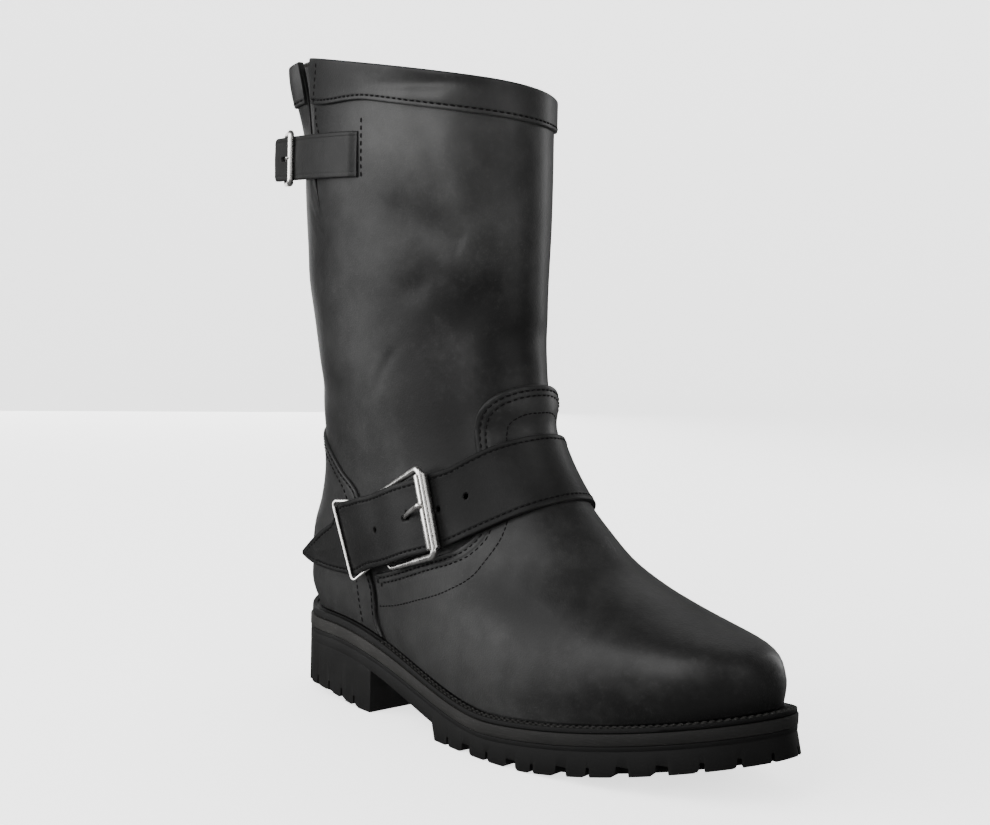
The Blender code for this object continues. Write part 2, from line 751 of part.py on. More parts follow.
def make_upper():
    low = [v for v in LEVELS if v < SEAM_LEVEL] + [SEAM_LEVEL - 0.5 * GAP]
    for name, near, far in (("upper", SIDE_SEAM_X + 0.5 * GAP, TRIM_FRONT),
                            ("quarter", TRIM_BACK, SIDE_SEAM_X - 0.5 * GAP)):
        foot = wall(name, upper_turns(), low)
        keep = [(near, 0.0), (far, 0.0), (far, COLLAR_LEVEL), (near, COLLAR_LEVEL)]
        boolean(foot, profile_prism(name + "_length", keep, "xz", -TRIM_SIDE, TRIM_SIDE), "INTERSECT")
    high = [v for v in LEVELS if v > SEAM_LEVEL]
    shaft = wall("shaft", shaft_turns(), [SEAM_LEVEL + 0.5 * GAP] + high)
    boolean(shaft, slit_cutter("shaft_slit"), "DIFFERENCE")


def tongue_stand(turns, levels):
    """How far the tongue of the vamp stands off the shaft."""
    side = np.abs(np.mod(turns + 1.0, 2.0) - 1.0)
    middle = 1.0 - ease((side - TONGUE_FLAT) / TONGUE_FADE)
    return TONGUE_STAND * ease((levels - TONGUE_LEVEL) / TONGUE_RUN) * middle


def panel(name, turns, levels, cutter, operation, lift=None):
    """Panel cut from a shell that lies over the upper, by outlines drawn in flat views."""
    made = sheet(name, turns, levels, PANEL_LIFT, PANEL, 1, PANEL_LEATHER, PARTS, True, lift)
    boolean(made, cutter, operation)


def edge_points(rows):
    """Points of a panel's edge."""
    rows = np.array(rows)
    return LAST.at(rows[:, 0], rows[:, 1], PANEL_LIFT)


def make_vamp():
    rows = [row for row in VAMP_EDGE if row[0] > TONGUE_TURN]
    edge = [(p[0], p[2]) for p in edge_points(rows)]
    outline = edge + [(TRIM_FRONT, edge[-1][1] + TRIM_OVER), (TRIM_FRONT, TRIM_FOOT)]
    outline.append((edge[0][0], TRIM_FOOT))
    side = profile_prism("vamp_side", outline, "xz", -TRIM_SIDE, TRIM_SIDE)
    tongue = [(-p[1], p[2]) for p in edge_points([row for row in VAMP_EDGE if row[0] < TONGUE_TURN + 0.03])]
    foot = (tongue[0][0] + TONGUE_OVER, tongue[0][1] - TONGUE_UNDER)
    tongue = [foot] + tongue[:-1] + [(0.0, tongue[-1][1])]
    halves = tongue + [(-half, z) for half, z in tongue[-2::-1]]
    boolean(side, profile_prism("vamp_tongue", halves, "yz", TONGUE_BACK, TONGUE_FRONT), "UNION")
    levels = [PANEL_FOOT] + [v for v in LEVELS[1:] if v < TONGUE_LEVEL] + list(TONGUE_LEVELS)
    panel("vamp", upper_turns(), levels, side, "INTERSECT", tongue_stand)


def make_counter():
    edge = [(p[0], p[2]) for p in edge_points(COUNTER_EDGE)]
    outline = edge + [(TRIM_BACK, edge[-1][1]), (TRIM_BACK, TRIM_FOOT), (edge[0][0], TRIM_FOOT)]
    side = profile_prism("counter_side", outline, "xz", -TRIM_SIDE, TRIM_SIDE)
    levels = [PANEL_FOOT] + [v for v in LEVELS[1:] if v <= TONGUE_LEVEL]
    panel("heel_counter", shaft_turns(), levels, side, "INTERSECT")


def make_collar_band():
    panel("collar_band", shaft_turns(), (BAND_LEVEL, BAND_MIDDLE, COLLAR_LEVEL),
          slit_cutter("band_slit"), "DIFFERENCE")


def make_gusset():
    turns = []
    for level in GUSSET_LEVELS:
        share = max(0.0, (level - SLIT_FOOT) / (COLLAR_LEVEL - SLIT_FOOT))
        front = SLIT_TURN + (SLIT_FRONT - SLIT_TURN) * share - GUSSET_LAP
        back = SLIT_TURN + (SLIT_BACK - SLIT_TURN) * share + GUSSET_LAP
        turns.append(np.linspace(front, back, 7))
    turns = np.array(turns)
    levels = np.tile(np.array(GUSSET_LEVELS)[:, None], (1, 7))
    rise = ease((levels - SLIT_FOOT) / (COLLAR_LEVEL - SLIT_FOOT))
    fold = np.sin(math.pi * np.linspace(0.0, 1.0, 7)) ** 2
    tuck = ease((turns - SLIT_BACK + GUSSET_LAP) / 0.05) * rise
    lift = -WALL - GUSSET_CLEAR - GUSSET_FOLD * fold * rise - GUSSET_TUCK * tuck
    points = LAST.at(turns, levels, lift)
    made = mesh_object("gusset", points.reshape(-1, 3), tube_faces(len(GUSSET_LEVELS), 7, False),
                       UPPER_LEATHER, PARTS)
    flip_outwards(made)
    thicken(made, GUSSET_THICK, -1)


# Straps


def ribbon(name, stations, thickness, finish, across=3):
    """Strap lofted through stations, each the points across its inner face and their normals."""
    points = []
    for spots, normals in stations:
        outer = spots + thickness * normals
        points.append(np.concatenate([spots, outer[::-1]]))
    columns = 2 * across
    faces = tube_faces(len(points), columns)
    last = (len(points) - 1) * columns
    faces += [tuple(range(columns)), tuple(range(last + columns - 1, last - 1, -1))]
    return mesh_object(name, np.concatenate(points), faces, finish, PARTS)


def strap_station(low_turn, low_level, high_turn, high_level, lift):
    """Points across the strap from its lower to its upper edge, held straight over the last."""
    share = np.array([0.0, 0.5, 1.0])
    turns = low_turn + (high_turn - low_turn) * share
    levels = low_level + (high_level - low_level) * share
    spots = LAST.at(turns, levels, np.full(3, lift))
    normals = LAST.at(turns, levels, np.full(3, lift + 1.0)) - spots
    return spots, normals


class Seat:
    """Place of a buckle: its middle and its directions along, across and out of the strap."""

    def __init__(self, rear, fore, up):
        self.rear = np.asarray(rear, float)
        self.along = np.asarray(fore, float) - self.rear
        self.length = float(np.linalg.norm(self.along))
        self.along = self.along / self.length
        up = np.asarray(up, float)
        up = up - self.along * np.dot(up, self.along)
        self.across = up / np.linalg.norm(up)
        self.out = np.cross(self.along, self.across)

    def place(self, a, b, c=0.0):
        return self.rear + a * self.along + b * self.across + c * self.out

    def matrix(self, a, b, c=0.0):
        """World matrix whose X is along the strap, Y across it and Z out of it."""
        frame = np.column_stack([self.along, self.across, self.out])
        made = Matrix([[*frame[r], 0.0] for r in range(3)] + [[0.0, 0.0, 0.0, 1.0]])
        made.translation = Vector(self.place(a, b, c) * MM)
        return made


def wire_object(name, points, radius, finish, cyclic):
    """Wire along millimetre points."""
    data = bpy.data.curves.new(name, "CURVE")
    data.dimensions = "3D"
    data.bevel_depth = radius * MM
    data.bevel_resolution = 2
    data.use_fill_caps = not cyclic
    line = data.splines.new("POLY")
    line.points.add(len(points) - 1)
    for knot, p in zip(line.points, points):
        knot.co = (*(np.asarray(p) * MM), 1.0)
    line.use_cyclic_u = cyclic
    return add_object(name, data, finish, PARTS)


def loop_points(seat, length, height, radius):
    """Closed rectangle with rounded corners in a buckle's own plane."""
    points = []
    for corner, (a, b) in enumerate(((length, height), (0, height), (0, -height), (length, -height))):
        ca = a - radius if a > 0 else a + radius
        cb = b - radius if b > 0 else b + radius
        for k in range(4):
            angle = math.radians(90.0 * corner + 30.0 * k)
            points.append(seat.place(ca + radius * math.cos(angle), cb + radius * math.sin(angle)))
    return points


def rolled_sheet(name, seat, along, length):
    """Roller: sheet metal rolled round the bar with an open seam on its outer side."""
    data = bpy.data.curves.new(name, "CURVE")
    data.dimensions = "2D"
    data.fill_mode = "BOTH"
    data.extrude = 0.5 * length * MM
    angles = np.radians(ROLLER_FACING + np.linspace(ROLLER_SEAM, 360.0 - ROLLER_SEAM, 15))
    rim = [(ROLLER_OUTER * math.cos(a), ROLLER_OUTER * math.sin(a)) for a in angles]
    rim += [(ROLLER_INNER * math.cos(a), ROLLER_INNER * math.sin(a)) for a in angles[::-1]]
    line = data.splines.new("POLY")
    line.points.add(len(rim) - 1)
    for knot, (x, y) in zip(line.points, rim):
        knot.co = (x * MM, y * MM, 0.0, 1.0)
    line.use_cyclic_u = True
    made = add_object(name, data, NICKEL, PARTS)
    turn = Matrix.Rotation(math.radians(-90.0), 4, "X") @ Matrix.Rotation(math.radians(-90.0), 4, "Z")
    made.matrix_world = seat.matrix(along, 0.0) @ turn
    return made


def instep_seat():
    rear = LAST.at(0.548, 101.5, 5.25)
    fore = LAST.at(0.355, 115.0, 10.4)
    up = LAST.at(0.34, 133.8, 9.0) - LAST.at(0.365, 98.3, 9.0)
    up = up + LAST.at(0.541, 122.3, 5.0) - LAST.at(0.58, 81.0, 5.0)
    return Seat(rear, fore, up)


def keeper_seat():
    rear = LAST.at(0.692, 89.2, 9.3)
    fore = LAST.at(0.63, 95.5, 5.05)
    up = LAST.at(0.68, 109.6, 9.0) - LAST.at(0.711, 68.4, 9.0)
    return Seat(rear, fore, up)


def seat_station(seat, along, out):
    """Station that runs straight across a buckle, at a height out of the buckle's plane."""
    spots = np.array([seat.place(along, b, out) for b in (-STRAP_HALF, 0.0, STRAP_HALF)])
    return spots, np.tile(seat.out, (3, 1))


def strap_stations(count):
    """Stations of the instep strap: over the instep, under the roller, over the bars, out to the tail."""
    buckle = instep_seat()
    keeper = keeper_seat()
    under_roller = -(ROLLER_OUTER + GAP + STRAP_THICK)
    marks = [strap_station(*row) for row in STRAP_FRONT]
    marks.append(seat_station(buckle, buckle.length, under_roller))
    marks.append(seat_station(buckle, 0.5 * buckle.length, STRAP_BOW))
    marks.append(seat_station(buckle, 0.0, WIRE + GAP))
    marks.append(seat_station(keeper, keeper.length, KEEPER_WIRE + GAP))
    marks.append(seat_station(keeper, 0.0, -(KEEPER_WIRE + GAP + STRAP_THICK)))
    marks += [strap_station(*row) for row in STRAP_TAIL]
    rows = np.array([np.concatenate([spots.ravel(), normals.ravel()]) for spots, normals in marks])
    steps = np.linalg.norm(np.diff(rows[:, 3:6], axis=0), axis=1)
    keys = np.concatenate([[0.0], np.cumsum(steps)])
    made = []
    for at in np.linspace(0.0, keys[-1], count):
        row = curve_through(keys, rows, at)
        normals = row[9:].reshape(3, 3)
        made.append((row[:9].reshape(3, 3), normals / np.linalg.norm(normals, axis=1)[:, None]))
    return made


def slot_cutter(name, seat, along, length, width, low, high):
    """Slot through a strap for a prong, in the buckle's own directions."""
    points = []
    for c in (low, high):
        for a, b in ((-1, -1), (1, -1), (1, 1), (-1, 1)):
            points.append(seat.place(along + 0.5 * a * length, 0.5 * b * width, c))
    return mesh_object(name, points, BOX_FACES, None, CUTTERS)


def make_instep_strap():
    strap = ribbon("instep_strap", strap_stations(46), STRAP_THICK, STRAP_LEATHER)
    seat = instep_seat()
    slot = slot_cutter("prong_slot", seat, 0.6 * seat.length, 11.0, 3.6, -14.0, 12.0)
    boolean(strap, slot, "DIFFERENCE")
    ribbon("buckle_tab", [strap_station(*row) for row in BUCKLE_TAB], BUCKLE_TAB_THICK, STRAP_LEATHER)


def make_instep_buckle():
    seat = instep_seat()
    wire_object("buckle_frame", loop_points(seat, seat.length, FRAME_HALF, FRAME_CORNER),
                WIRE, NICKEL, True)
    rolled_sheet("buckle_roller", seat, seat.length, ROLLER_LENGTH)
    path = [seat.place(WIRE + PRONG + 0.4, 0.0, -0.7), seat.place(0.5 * seat.length, 0.0, -1.0),
            seat.place(0.66 * seat.length, 0.0, 2.6),
            seat.place(seat.length + 1.2, 0.0, ROLLER_OUTER + PRONG + 0.5)]
    wire_object("buckle_prong", path, PRONG, NICKEL, False)
    keeper = keeper_seat()
    wire_object("keeper_loop", loop_points(keeper, keeper.length, KEEPER_HALF, KEEPER_CORNER),
                KEEPER_WIRE, NICKEL, True)


# Strap at the collar


def top_line():
    """Middle of the collar strap's inner face: on the shaft, then straight off it.

    The last stations stand at the buckle's bar, halfway, at its pivot and at the tip.
    """
    turns = np.linspace(TOP_START, TOP_LEAVE, 7)
    spots = LAST.at(turns, np.full(7, TOP_LEVEL), np.full(7, TOP_LIFT))
    flat = spots[-1] - spots[-2]
    flat[2] = 0.0
    flat = flat / np.linalg.norm(flat)
    inward = np.array([-flat[1], flat[0], 0.0])
    stops = (9.0, 18.0, 27.0, TOP_BAR, 0.5 * (TOP_BAR + TOP_PIVOT), TOP_PIVOT, TOP_FREE)
    free = [spots[-1] + flat * d - inward * TOP_CURL * d * d for d in stops]
    line = np.vstack([spots, free])
    line[:, 2] = spots[0, 2]
    return line


def line_normals(line):
    """Outward level normals of a line that runs from front to back on the outer side."""
    along = np.gradient(line, axis=0)
    out = np.column_stack([along[:, 1], -along[:, 0], np.zeros(len(line))])
    return out / np.linalg.norm(out, axis=1)[:, None]


def make_top_strap():
    line = top_line()
    normals = line_normals(line)
    if normals[0, 1] > 0:
        normals = -normals
    heights = np.array([-TOP_HALF, 0.0, TOP_HALF])
    stations = []
    for k, (spot, normal) in enumerate(zip(line, normals)):
        narrow = TOP_TIP if k == len(line) - 1 else 1.0
        spots = np.array([spot + np.array([0.0, 0.0, h * narrow]) for h in heights])
        stations.append((spots, np.tile(normal, (3, 1))))
    strap = ribbon("top_strap", stations, TOP_THICK, STRAP_LEATHER)
    return line, normals, strap


def make_top_buckle():
    line, normals, strap = make_top_strap()
    fore = line[-4] + normals[-4] * (TOP_THICK + GAP + TOP_WIRE)
    rear = line[-2] - normals[-2] * (GAP + TOP_WIRE)
    seat = Seat(rear, fore, (0.0, 0.0, 1.0))
    wire_object("top_buckle_frame", loop_points(seat, seat.length, TOP_FRAME_HALF, TOP_FRAME_CORNER),
                TOP_WIRE, NICKEL, True)
    slot = slot_cutter("top_prong_slot", seat, 0.42 * seat.length, 13.0, 2.8, -8.0, 8.0)
    boolean(strap, slot, "DIFFERENCE")
    side = 1.0 if np.dot(seat.out, normals[-3]) > 0 else -1.0
    start = seat.place(TOP_WIRE + TOP_PRONG + 0.4, 0.0, 0.0)
    middle = seat.place(0.6 * seat.length, 0.0, side * 0.9)
    tip = seat.place(seat.length + 0.4, 0.0, side * (TOP_WIRE + TOP_PRONG + 0.4))
    wire_object("top_buckle_prong", [start, middle, tip], TOP_PRONG, NICKEL, False)
    turns = np.linspace(*TOP_TAB_TURNS, 4)
    base = LAST.at(turns, np.full(4, TOP_LEVEL), np.full(4, TOP_LIFT))
    base[:, 2] = line[0, 2]
    end = rear - normals[-2] * 3.2
    tab_line = np.vstack([base, 0.5 * (base[-1] + end), end])
    tab_normals = -line_normals(tab_line)
    if tab_normals[0, 0] > 0:
        tab_normals = -tab_normals
    stations = []
    for spot, normal in zip(tab_line, tab_normals):
        spots = np.array([spot + np.array([0.0, 0.0, h * TOP_TAB_HALF]) for h in (-1.0, 0.0, 1.0)])
        stations.append((spots, np.tile(normal, (3, 1))))
    ribbon("top_buckle_tab", stations, TOP_TAB_THICK, STRAP_LEATHER)


def main():
    make_outsole()
    make_heel()
    make_midsole()
    make_welt()
    make_insole()
    make_upper()
    make_gusset()
    make_vamp()
    make_counter()
    make_collar_band()
    make_instep_strap()
    make_instep_buckle()
    make_top_buckle()


main()
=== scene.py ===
"""Looks of a right motorcycle boot: creased leather, stitched panels, buckled straps, lugged sole.

Sizes are millimetres in the frame of the solids until a mesh is made. A place on the leather is a
turn, from 0 at the toe's middle to 1 at the heel's middle down the outer side and on to 2 at the toe
up the inner side, and a level of the section table.
"""
import math

import bmesh
import bpy
import numpy as np
from bpy.props import FloatProperty, FloatVectorProperty, PointerProperty
from mathutils import Matrix, Vector
from mathutils.kdtree import KDTree


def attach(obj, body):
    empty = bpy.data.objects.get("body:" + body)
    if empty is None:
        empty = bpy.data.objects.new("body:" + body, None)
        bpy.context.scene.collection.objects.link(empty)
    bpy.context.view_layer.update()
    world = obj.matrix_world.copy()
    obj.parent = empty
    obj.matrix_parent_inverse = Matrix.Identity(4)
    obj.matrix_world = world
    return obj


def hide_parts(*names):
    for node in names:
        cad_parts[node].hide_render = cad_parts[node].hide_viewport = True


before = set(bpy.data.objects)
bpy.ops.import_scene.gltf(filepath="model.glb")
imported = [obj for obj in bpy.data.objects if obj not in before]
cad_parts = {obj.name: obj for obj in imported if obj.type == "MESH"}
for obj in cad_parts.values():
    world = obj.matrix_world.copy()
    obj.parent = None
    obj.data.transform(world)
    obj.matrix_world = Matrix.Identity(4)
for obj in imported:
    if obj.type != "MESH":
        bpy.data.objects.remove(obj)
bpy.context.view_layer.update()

bl_info = {
    "name": "Motorcycle boot",
    "version": (1, 0, 0),
    "blender": (4, 5, 0),
    "location": "View3D > Sidebar > Boot",
    "description": "Builds the leather, straps, buckles and sole of a motorcycle boot",
    "category": "Object",
}

MM = 0.001

# Leather
GAP = 0.3
WALL = 2.2
PANEL = 1.75
PANEL_UNDER = 0.04
FOLD_ROUND = 1.1
ROW_SINK = 0.16
LINE_SINK = 0.05

# Feather line, where the upper meets the sole
SEAT_RISE = 47.5
BALL_RISE = 21.5
SEAT_X = -2.0
BALL_X = 148.0
SPRING_X = 135.0
SPRING_RUN = 137.0
SPRING_RISE = 20.0
SPRING_POWER = 1.68

# Sole layers, from the feather line down
WELT_THICK = 2.4
WELT_GROW = 4.6
WELT_TUCK = 12.0
MIDSOLE_THICK = 5.7
MIDSOLE_GROW = 5.4
OUTSOLE_GROW = 5.2
SOLE_FRONT = 5.0
SOLE_BACK = 2.0
WAIST_THICK = 9.8
INSOLE_THICK = 3.0
INSOLE_INSET = 3.6
TREAD_X = 168.0
TREAD_RUN = 98.0
TREAD_RISE = 17.5
TREAD_POWER = 1.35
TOE_FLARE = 2.2
FLARE_X = 150.0
FLARE_RUN = 110.0
BREAST_X = 43.5
FOREFOOT_X = 102.0
FOREFOOT_SLOPE = 6.0
RIM_RISE = 5.2
RIM_START = 38.0
RIM_RUN = 45.0
RIM_WIDTH = 9.0
LUG_DEPTH = 4.6
LUG_ROUND = 2.2
RIM_LUG = 15.0
RING_SLOT = 4.0
CENTRE_SLOT = 5.2
CENTRE_SLOTS = (126.0, 144.0, 162.0, 180.0, 198.0, 216.0, 234.0)
SLOT_BELOW = 12.0
INNER_SHARE = 0.965
GAP_OUT = 8.0
HEEL_SLIT = 1.6
HEEL_SLIT_TALL = 5.6
HEEL_SLIT_DEEP = 10.0
HEEL_ROUND = 2.8
HEEL_LIP = 4.0
LIP_X = -16.0
LIP_RUN = 24.0
MORE_X = 110.0
MORE_RUN = 90.0
WELT_MORE = 1.6
BAND_MORE = 0.7
HEEL_SLITS = 8
HEEL_SLIT_FIRST = 6.8
HEEL_SLIT_PITCH = 11.5

# Gaps round the forefoot's edge: length along it from the middle of the toe, and width
LUG_GAPS = ((9.0, 1.8), (24.5, 2.4), (41.0, 2.4), (59.0, 6.0), (78.0, 6.5), (95.7, 1.8), (110.3, 6.0),
            (127.3, 1.8), (140.5, 6.0), (156.7, 1.8), (172.8, 6.0), (188.0, 1.8))

# Collar, slit and gusset
COLLAR_TILT = 0.13
TILT_LEVEL = 180.0
TILT_RUN = 150.0
SHAFT_X = 36.0
BAND_LEVEL = 326.0
BAND_DROP = 5.5
BAND_ROW = 2.6
SLIT_FRONT = 0.69
SLIT_BACK = 0.745
SLIT_TURN = 0.637
SLIT_FOOT = 266.0
EAR = 9.0
EAR_TURN = 0.785
EAR_SPREAD = 0.05
EAR_LEVEL = 292.0
GUSSET_FOLD = 2.6
GUSSET_LAP = 0.03
GUSSET_THICK = 1.4

# Dips of the collar's line: turn, spread and drop
COLLAR_DIPS = ((-0.25, 0.22, 9.2), (0.79, 0.05, 5.5))
DIP_LEVEL = 288.0

# Tongue of the vamp, which stands off the shaft
TONGUE_STAND = 3.2
TONGUE_LEVEL = 157.0
TONGUE_RUN = 14.0
TONGUE_FLAT = 0.1
TONGUE_FADE = 0.14

# Straps and wire
STRAP_THICK = 2.8
STRAP_HALF = 19.2
STRAP_BOW = 0.7
STRAP_ROW = 3.0
STRAP_SHADE = 0.45
BUCKLE_TAB_THICK = 1.4
WIRE = 1.35
CORNER_STEPS = 9
FRAME_HALF = 22.6
FRAME_FOOT = (18.8, 21.4)
FRAME_CORNER = 3.2
FRAME_BARS = (1.35, 0.9, 0.9, 1.35)
ROLLER_OUTER = 3.6
ROLLER_INNER = 2.4
ROLLER_LENGTH = 39.0
ROLLER_SEAM = 30.0
ROLLER_FACING = 50.0
PRONG = 1.1
KEEPER_WIRE = 0.9
KEEPER_HALF = 18.8
KEEPER_FOOT = (21.8, 21.8)
KEEPER_CORNER = 2.4
HOLE = 1.5
PRONG_HOLE = 1.4
TOP_LEVEL = 297.9
TOP_HALF = 11.9
TOP_THICK = 2.2
TOP_START = 0.464
TOP_LEAVE = 0.60
TOP_BAR = 32.0
TOP_PIVOT = 51.0
TOP_FREE = 59.0
TOP_CURL = 0.0016
TOP_WIRE = 1.1
TOP_PRONG = 0.8
TOP_SHADE = 0.55
TOP_HOLE = 1.3
TOP_FRAME_HALF = 13.6
TOP_CORNER = 2.5
TOP_BARS = (1.6, 0.9, 0.9, 1.6)
TOP_TAB_HALF = 9.0
TOP_TAB_THICK = 1.6

# Places of the instep buckle and the keeper as turn, level and lift: their rear, their far bar, and the
# low and high ends of their bars
BUCKLE_REAR = (0.548, 101.5, 5.25)
BUCKLE_FORE = (0.355, 115.0, 10.4)
BUCKLE_BARS = (((0.365, 98.3, 9.0), (0.34, 133.8, 9.0)), ((0.58, 81.0, 5.0), (0.541, 122.3, 5.0)))
KEEPER_REAR = (0.692, 89.2, 9.3)
KEEPER_FORE = (0.63, 95.5, 5.05)
KEEPER_BARS = (((0.711, 68.4, 9.0), (0.68, 109.6, 9.0)),)

# Thread, length and pitch of the finer stitches
ARC_STITCH = (0.75, 2.75, 2.9)
STRAP_STITCH = (0.85, 2.5, 3.2)
WELT_STITCH = (0.85, 2.9, 3.6)

# Lamps by the setting of their power, with size and place, and what they and the camera face, in metres
LAMPS = (("key", (1.4, 1.6), (-0.75, -1.2, 0.6)), ("front", (0.6, 1.6), (0.42, -1.15, 0.85)),
         ("fill", (1.0, 1.2), (1.36, 0.05, 0.7)), ("rim", (0.3, 0.8), (0.2, 1.4, 0.42)),
         ("back", (1.2, 1.2), (-1.45, 0.8, 0.55)), ("top", (0.9, 0.9), (-0.45, 0.95, 1.2)))
LAMP_TARGET = (0.09, 0.0, 0.16)
CAMERA_TARGET = (0.095, 0.0, 0.165)

# Floor, with radius and height of its rings as it curves up to a wall
FLOOR_RINGS = ((300.0, 0.0), (1500.0, 0.0), (2600.0, 0.0), (3200.0, 120.0), (3700.0, 480.0),
               (4000.0, 1100.0), (4150.0, 2600.0))
FLOOR_SINK = 0.2

# Sections of the upper's outer face, a row for each level
COLUMNS = ("level", "follow", "back", "front", "wide", "outer", "inner", "heel", "waist",
           "swing", "power", "round")
SECTIONS = (
    (30, 1.00, -30.0, 268.5, 152.0, 49.0, 47.5, 31.5, 4.5, 17.0, 2.05, 42.0),
    (46, 0.85, -36.5, 269.0, 152.0, 49.0, 48.0, 33.0, 3.5, 14.5, 2.30, 41.0),
    (62, 0.60, -36.5, 259.5, 146.0, 47.5, 47.0, 33.5, 2.0, 12.5, 2.35, 41.0),
    (78, 0.35, -36.5, 219.0, 128.0, 45.0, 44.0, 34.0, 1.0, 9.5, 2.25, 42.0),
    (92, 0.18, -35.0, 186.0, 108.0, 42.5, 42.5, 34.5, 0.0, 6.5, 2.10, 45.0),
    (108, 0.06, -31.0, 166.0, 86.0, 41.0, 41.0, 35.0, 0.0, 4.5, 2.00, 52.0),
    (128, 0.00, -28.5, 145.5, 62.0, 40.5, 40.5, 36.5, 0.0, 3.0, 2.00, 60.0),
    (150, 0.00, -31.0, 130.5, 48.0, 42.0, 42.0, 39.5, 0.0, 1.5, 2.00, 68.0),
    (180, 0.00, -32.5, 121.5, 42.0, 45.0, 45.0, 43.5, 0.0, 0.5, 2.00, 70.0),
    (220, 0.00, -39.0, 118.2, 38.0, 48.5, 48.5, 48.0, 0.0, 0.0, 2.00, 72.0),
    (270, 0.00, -41.5, 117.0, 36.5, 53.0, 53.0, 53.0, 0.0, 0.0, 2.00, 72.0),
    (345, 0.00, -38.0, 113.5, 36.0, 55.0, 57.0, 57.0, 0.0, 0.0, 2.00, 72.0),
)
TABLE = np.array(SECTIONS, float)
LAST_LEVELS = 211
LAST_HALF = 220
FOOT_LEVEL = TABLE[0, 0]
PANEL_FOOT = 31.5
COLLAR_LEVEL = TABLE[-1, 0]

# Troughs and ridges of the leather: turn and level where each starts and ends, its sag, width and rise
CREASES = (
    (0.44, 276.0, 0.09, 248.5, 2.0, 9.0, -2.0),
    (0.28, 316.0, 0.14, 272.0, 0.0, 14.0, 1.5),
    (0.18, 256.0, 0.13, 253.0, 0.0, 9.0, 1.3),
    (0.35, 223.0, 0.24, 239.0, 0.0, 7.0, -0.9),
    (0.23, 204.0, 0.06, 244.0, -5.0, 13.0, -2.0),
    (0.47, 334.0, 0.14, 341.0, -1.6, 4.2, -1.6),
    (0.36, 330.5, 0.16, 334.0, 0.0, 4.6, 1.0),
    (0.12, 204.0, -0.12, 204.0, 2.0, 9.0, -1.8),
    (0.69, 282.0, 0.635, 262.0, 0.0, 2.4, -0.8),
    (0.70, 266.0, 0.62, 252.0, 0.0, 3.0, -0.7),
    (0.36, 199.0, 0.49, 169.0, 3.0, 3.0, -0.5),
    (0.60, 176.0, 0.95, 178.0, -4.0, 9.0, -0.9),
    (0.62, 215.0, 0.84, 232.0, 4.0, 14.0, 1.0),
    (-0.72, 268.0, -0.36, 250.0, 3.0, 10.0, -1.7),
    (-0.52, 308.0, -0.38, 282.0, 0.0, 14.0, 1.2),
    (-0.60, 208.0, -0.36, 234.0, -5.0, 13.0, -1.6),
    (-0.60, 178.0, -0.36, 192.0, 3.0, 8.0, -1.1),
    (-0.72, 212.0, -0.92, 226.0, 4.0, 12.0, -1.2),
    (0.09, 88.0, 0.30, 61.0, -2.0, 15.0, -1.0),
    (-0.09, 88.0, -0.30, 61.0, -2.0, 15.0, -1.0),
    (0.16, 101.0, 0.30, 82.0, 0.0, 5.0, -0.45),
    (0.15, 94.0, 0.27, 76.0, 0.0, 4.5, -0.35),
    (-0.16, 101.0, -0.30, 82.0, 0.0, 5.0, -0.45),
)

# Painted light on the leather: turn, level, spread of both, and tone, a painted highlight above 0 and
# painted shade below
PAINTED_LIGHT_PATCHES = (
    (0.27, 316.0, 0.14, 24.0, 1.0),
    (0.13, 272.0, 0.10, 20.0, 0.6),
    (0.34, 279.0, 0.06, 13.0, -0.3),
    (0.26, 232.0, 0.15, 16.0, -0.4),
    (0.36, 198.0, 0.10, 26.0, -0.6),
    (0.07, 212.0, 0.14, 26.0, -0.7),
    (0.27, 148.0, 0.15, 26.0, -1.0),
    (0.62, 310.0, 0.12, 40.0, -0.7),
    (0.60, 250.0, 0.12, 40.0, -0.3),
    (0.55, 48.0, 0.15, 20.0, 0.6),
    (0.82, 60.0, 0.12, 40.0, 0.5),
    (0.0, 38.0, 0.20, 24.0, -1.0),
    (-0.05, 46.0, 0.03, 18.0, 1.9),
    (0.12, 58.0, 0.07, 12.0, 0.6),
    (0.515, 334.0, 0.10, 9.0, -0.8),
    (0.30, 342.0, 0.20, 4.0, -0.8),
    (0.29, 80.0, 0.10, 14.0, -1.0),
    (0.71, 45.0, 0.008, 40.0, -1.0),
    (0.0, 72.0, 0.12, 16.0, -0.4),
    (0.33, 46.0, 0.10, 14.0, -0.3),
)

# Edges of the panels over the surface, as turns and levels
VAMP_EDGE = ((0.704, 31.5), (0.708, 40.0), (0.702, 54.3), (0.694, 65.0), (0.682, 70.3), (0.655, 73.2),
             (0.60, 78.5), (0.518, 85.5), (0.44, 91.5), (0.376, 96.2), (0.312, 102.0), (0.258, 110.0),
             (0.222, 121.0), (0.198, 134.0), (0.182, 148.0), (0.168, 161.0), (0.151, 168.0),
             (0.12, 174.2), (0.074, 178.7), (0.0, 181.0))
VAMP_ROWS = (2.8, 5.7)
COUNTER_EDGE = ((0.716, 31.5), (0.72, 38.0), (0.713, 49.6), (0.706, 66.0), (0.69, 80.0), (0.665, 97.0),
                (0.645, 110.0), (0.65, 117.5), (0.709, 128.5), (0.788, 139.7), (0.88, 147.5),
                (0.95, 150.5), (1.0, 151.0))
COUNTER_INSET = 2.4
COUNTER_ROW = ((0.765, 33.0), (0.756, 47.0), (0.753, 60.0), (0.735, 75.0), (0.71, 92.0), (0.688, 106.0),
               (0.70, 117.0), (0.75, 127.0), (0.82, 136.0), (0.90, 142.5), (1.0, 145.0))
VAMP_ARC = ((0.699, 51.0), (0.581, 66.6), (0.445, 78.6), (0.298, 92.2), (0.219, 105.1), (0.178, 114.2),
            (0.135, 131.0), (0.105, 148.0), (0.096, 154.2), (0.082, 161.3), (0.05, 165.3), (0.0, 166.5))
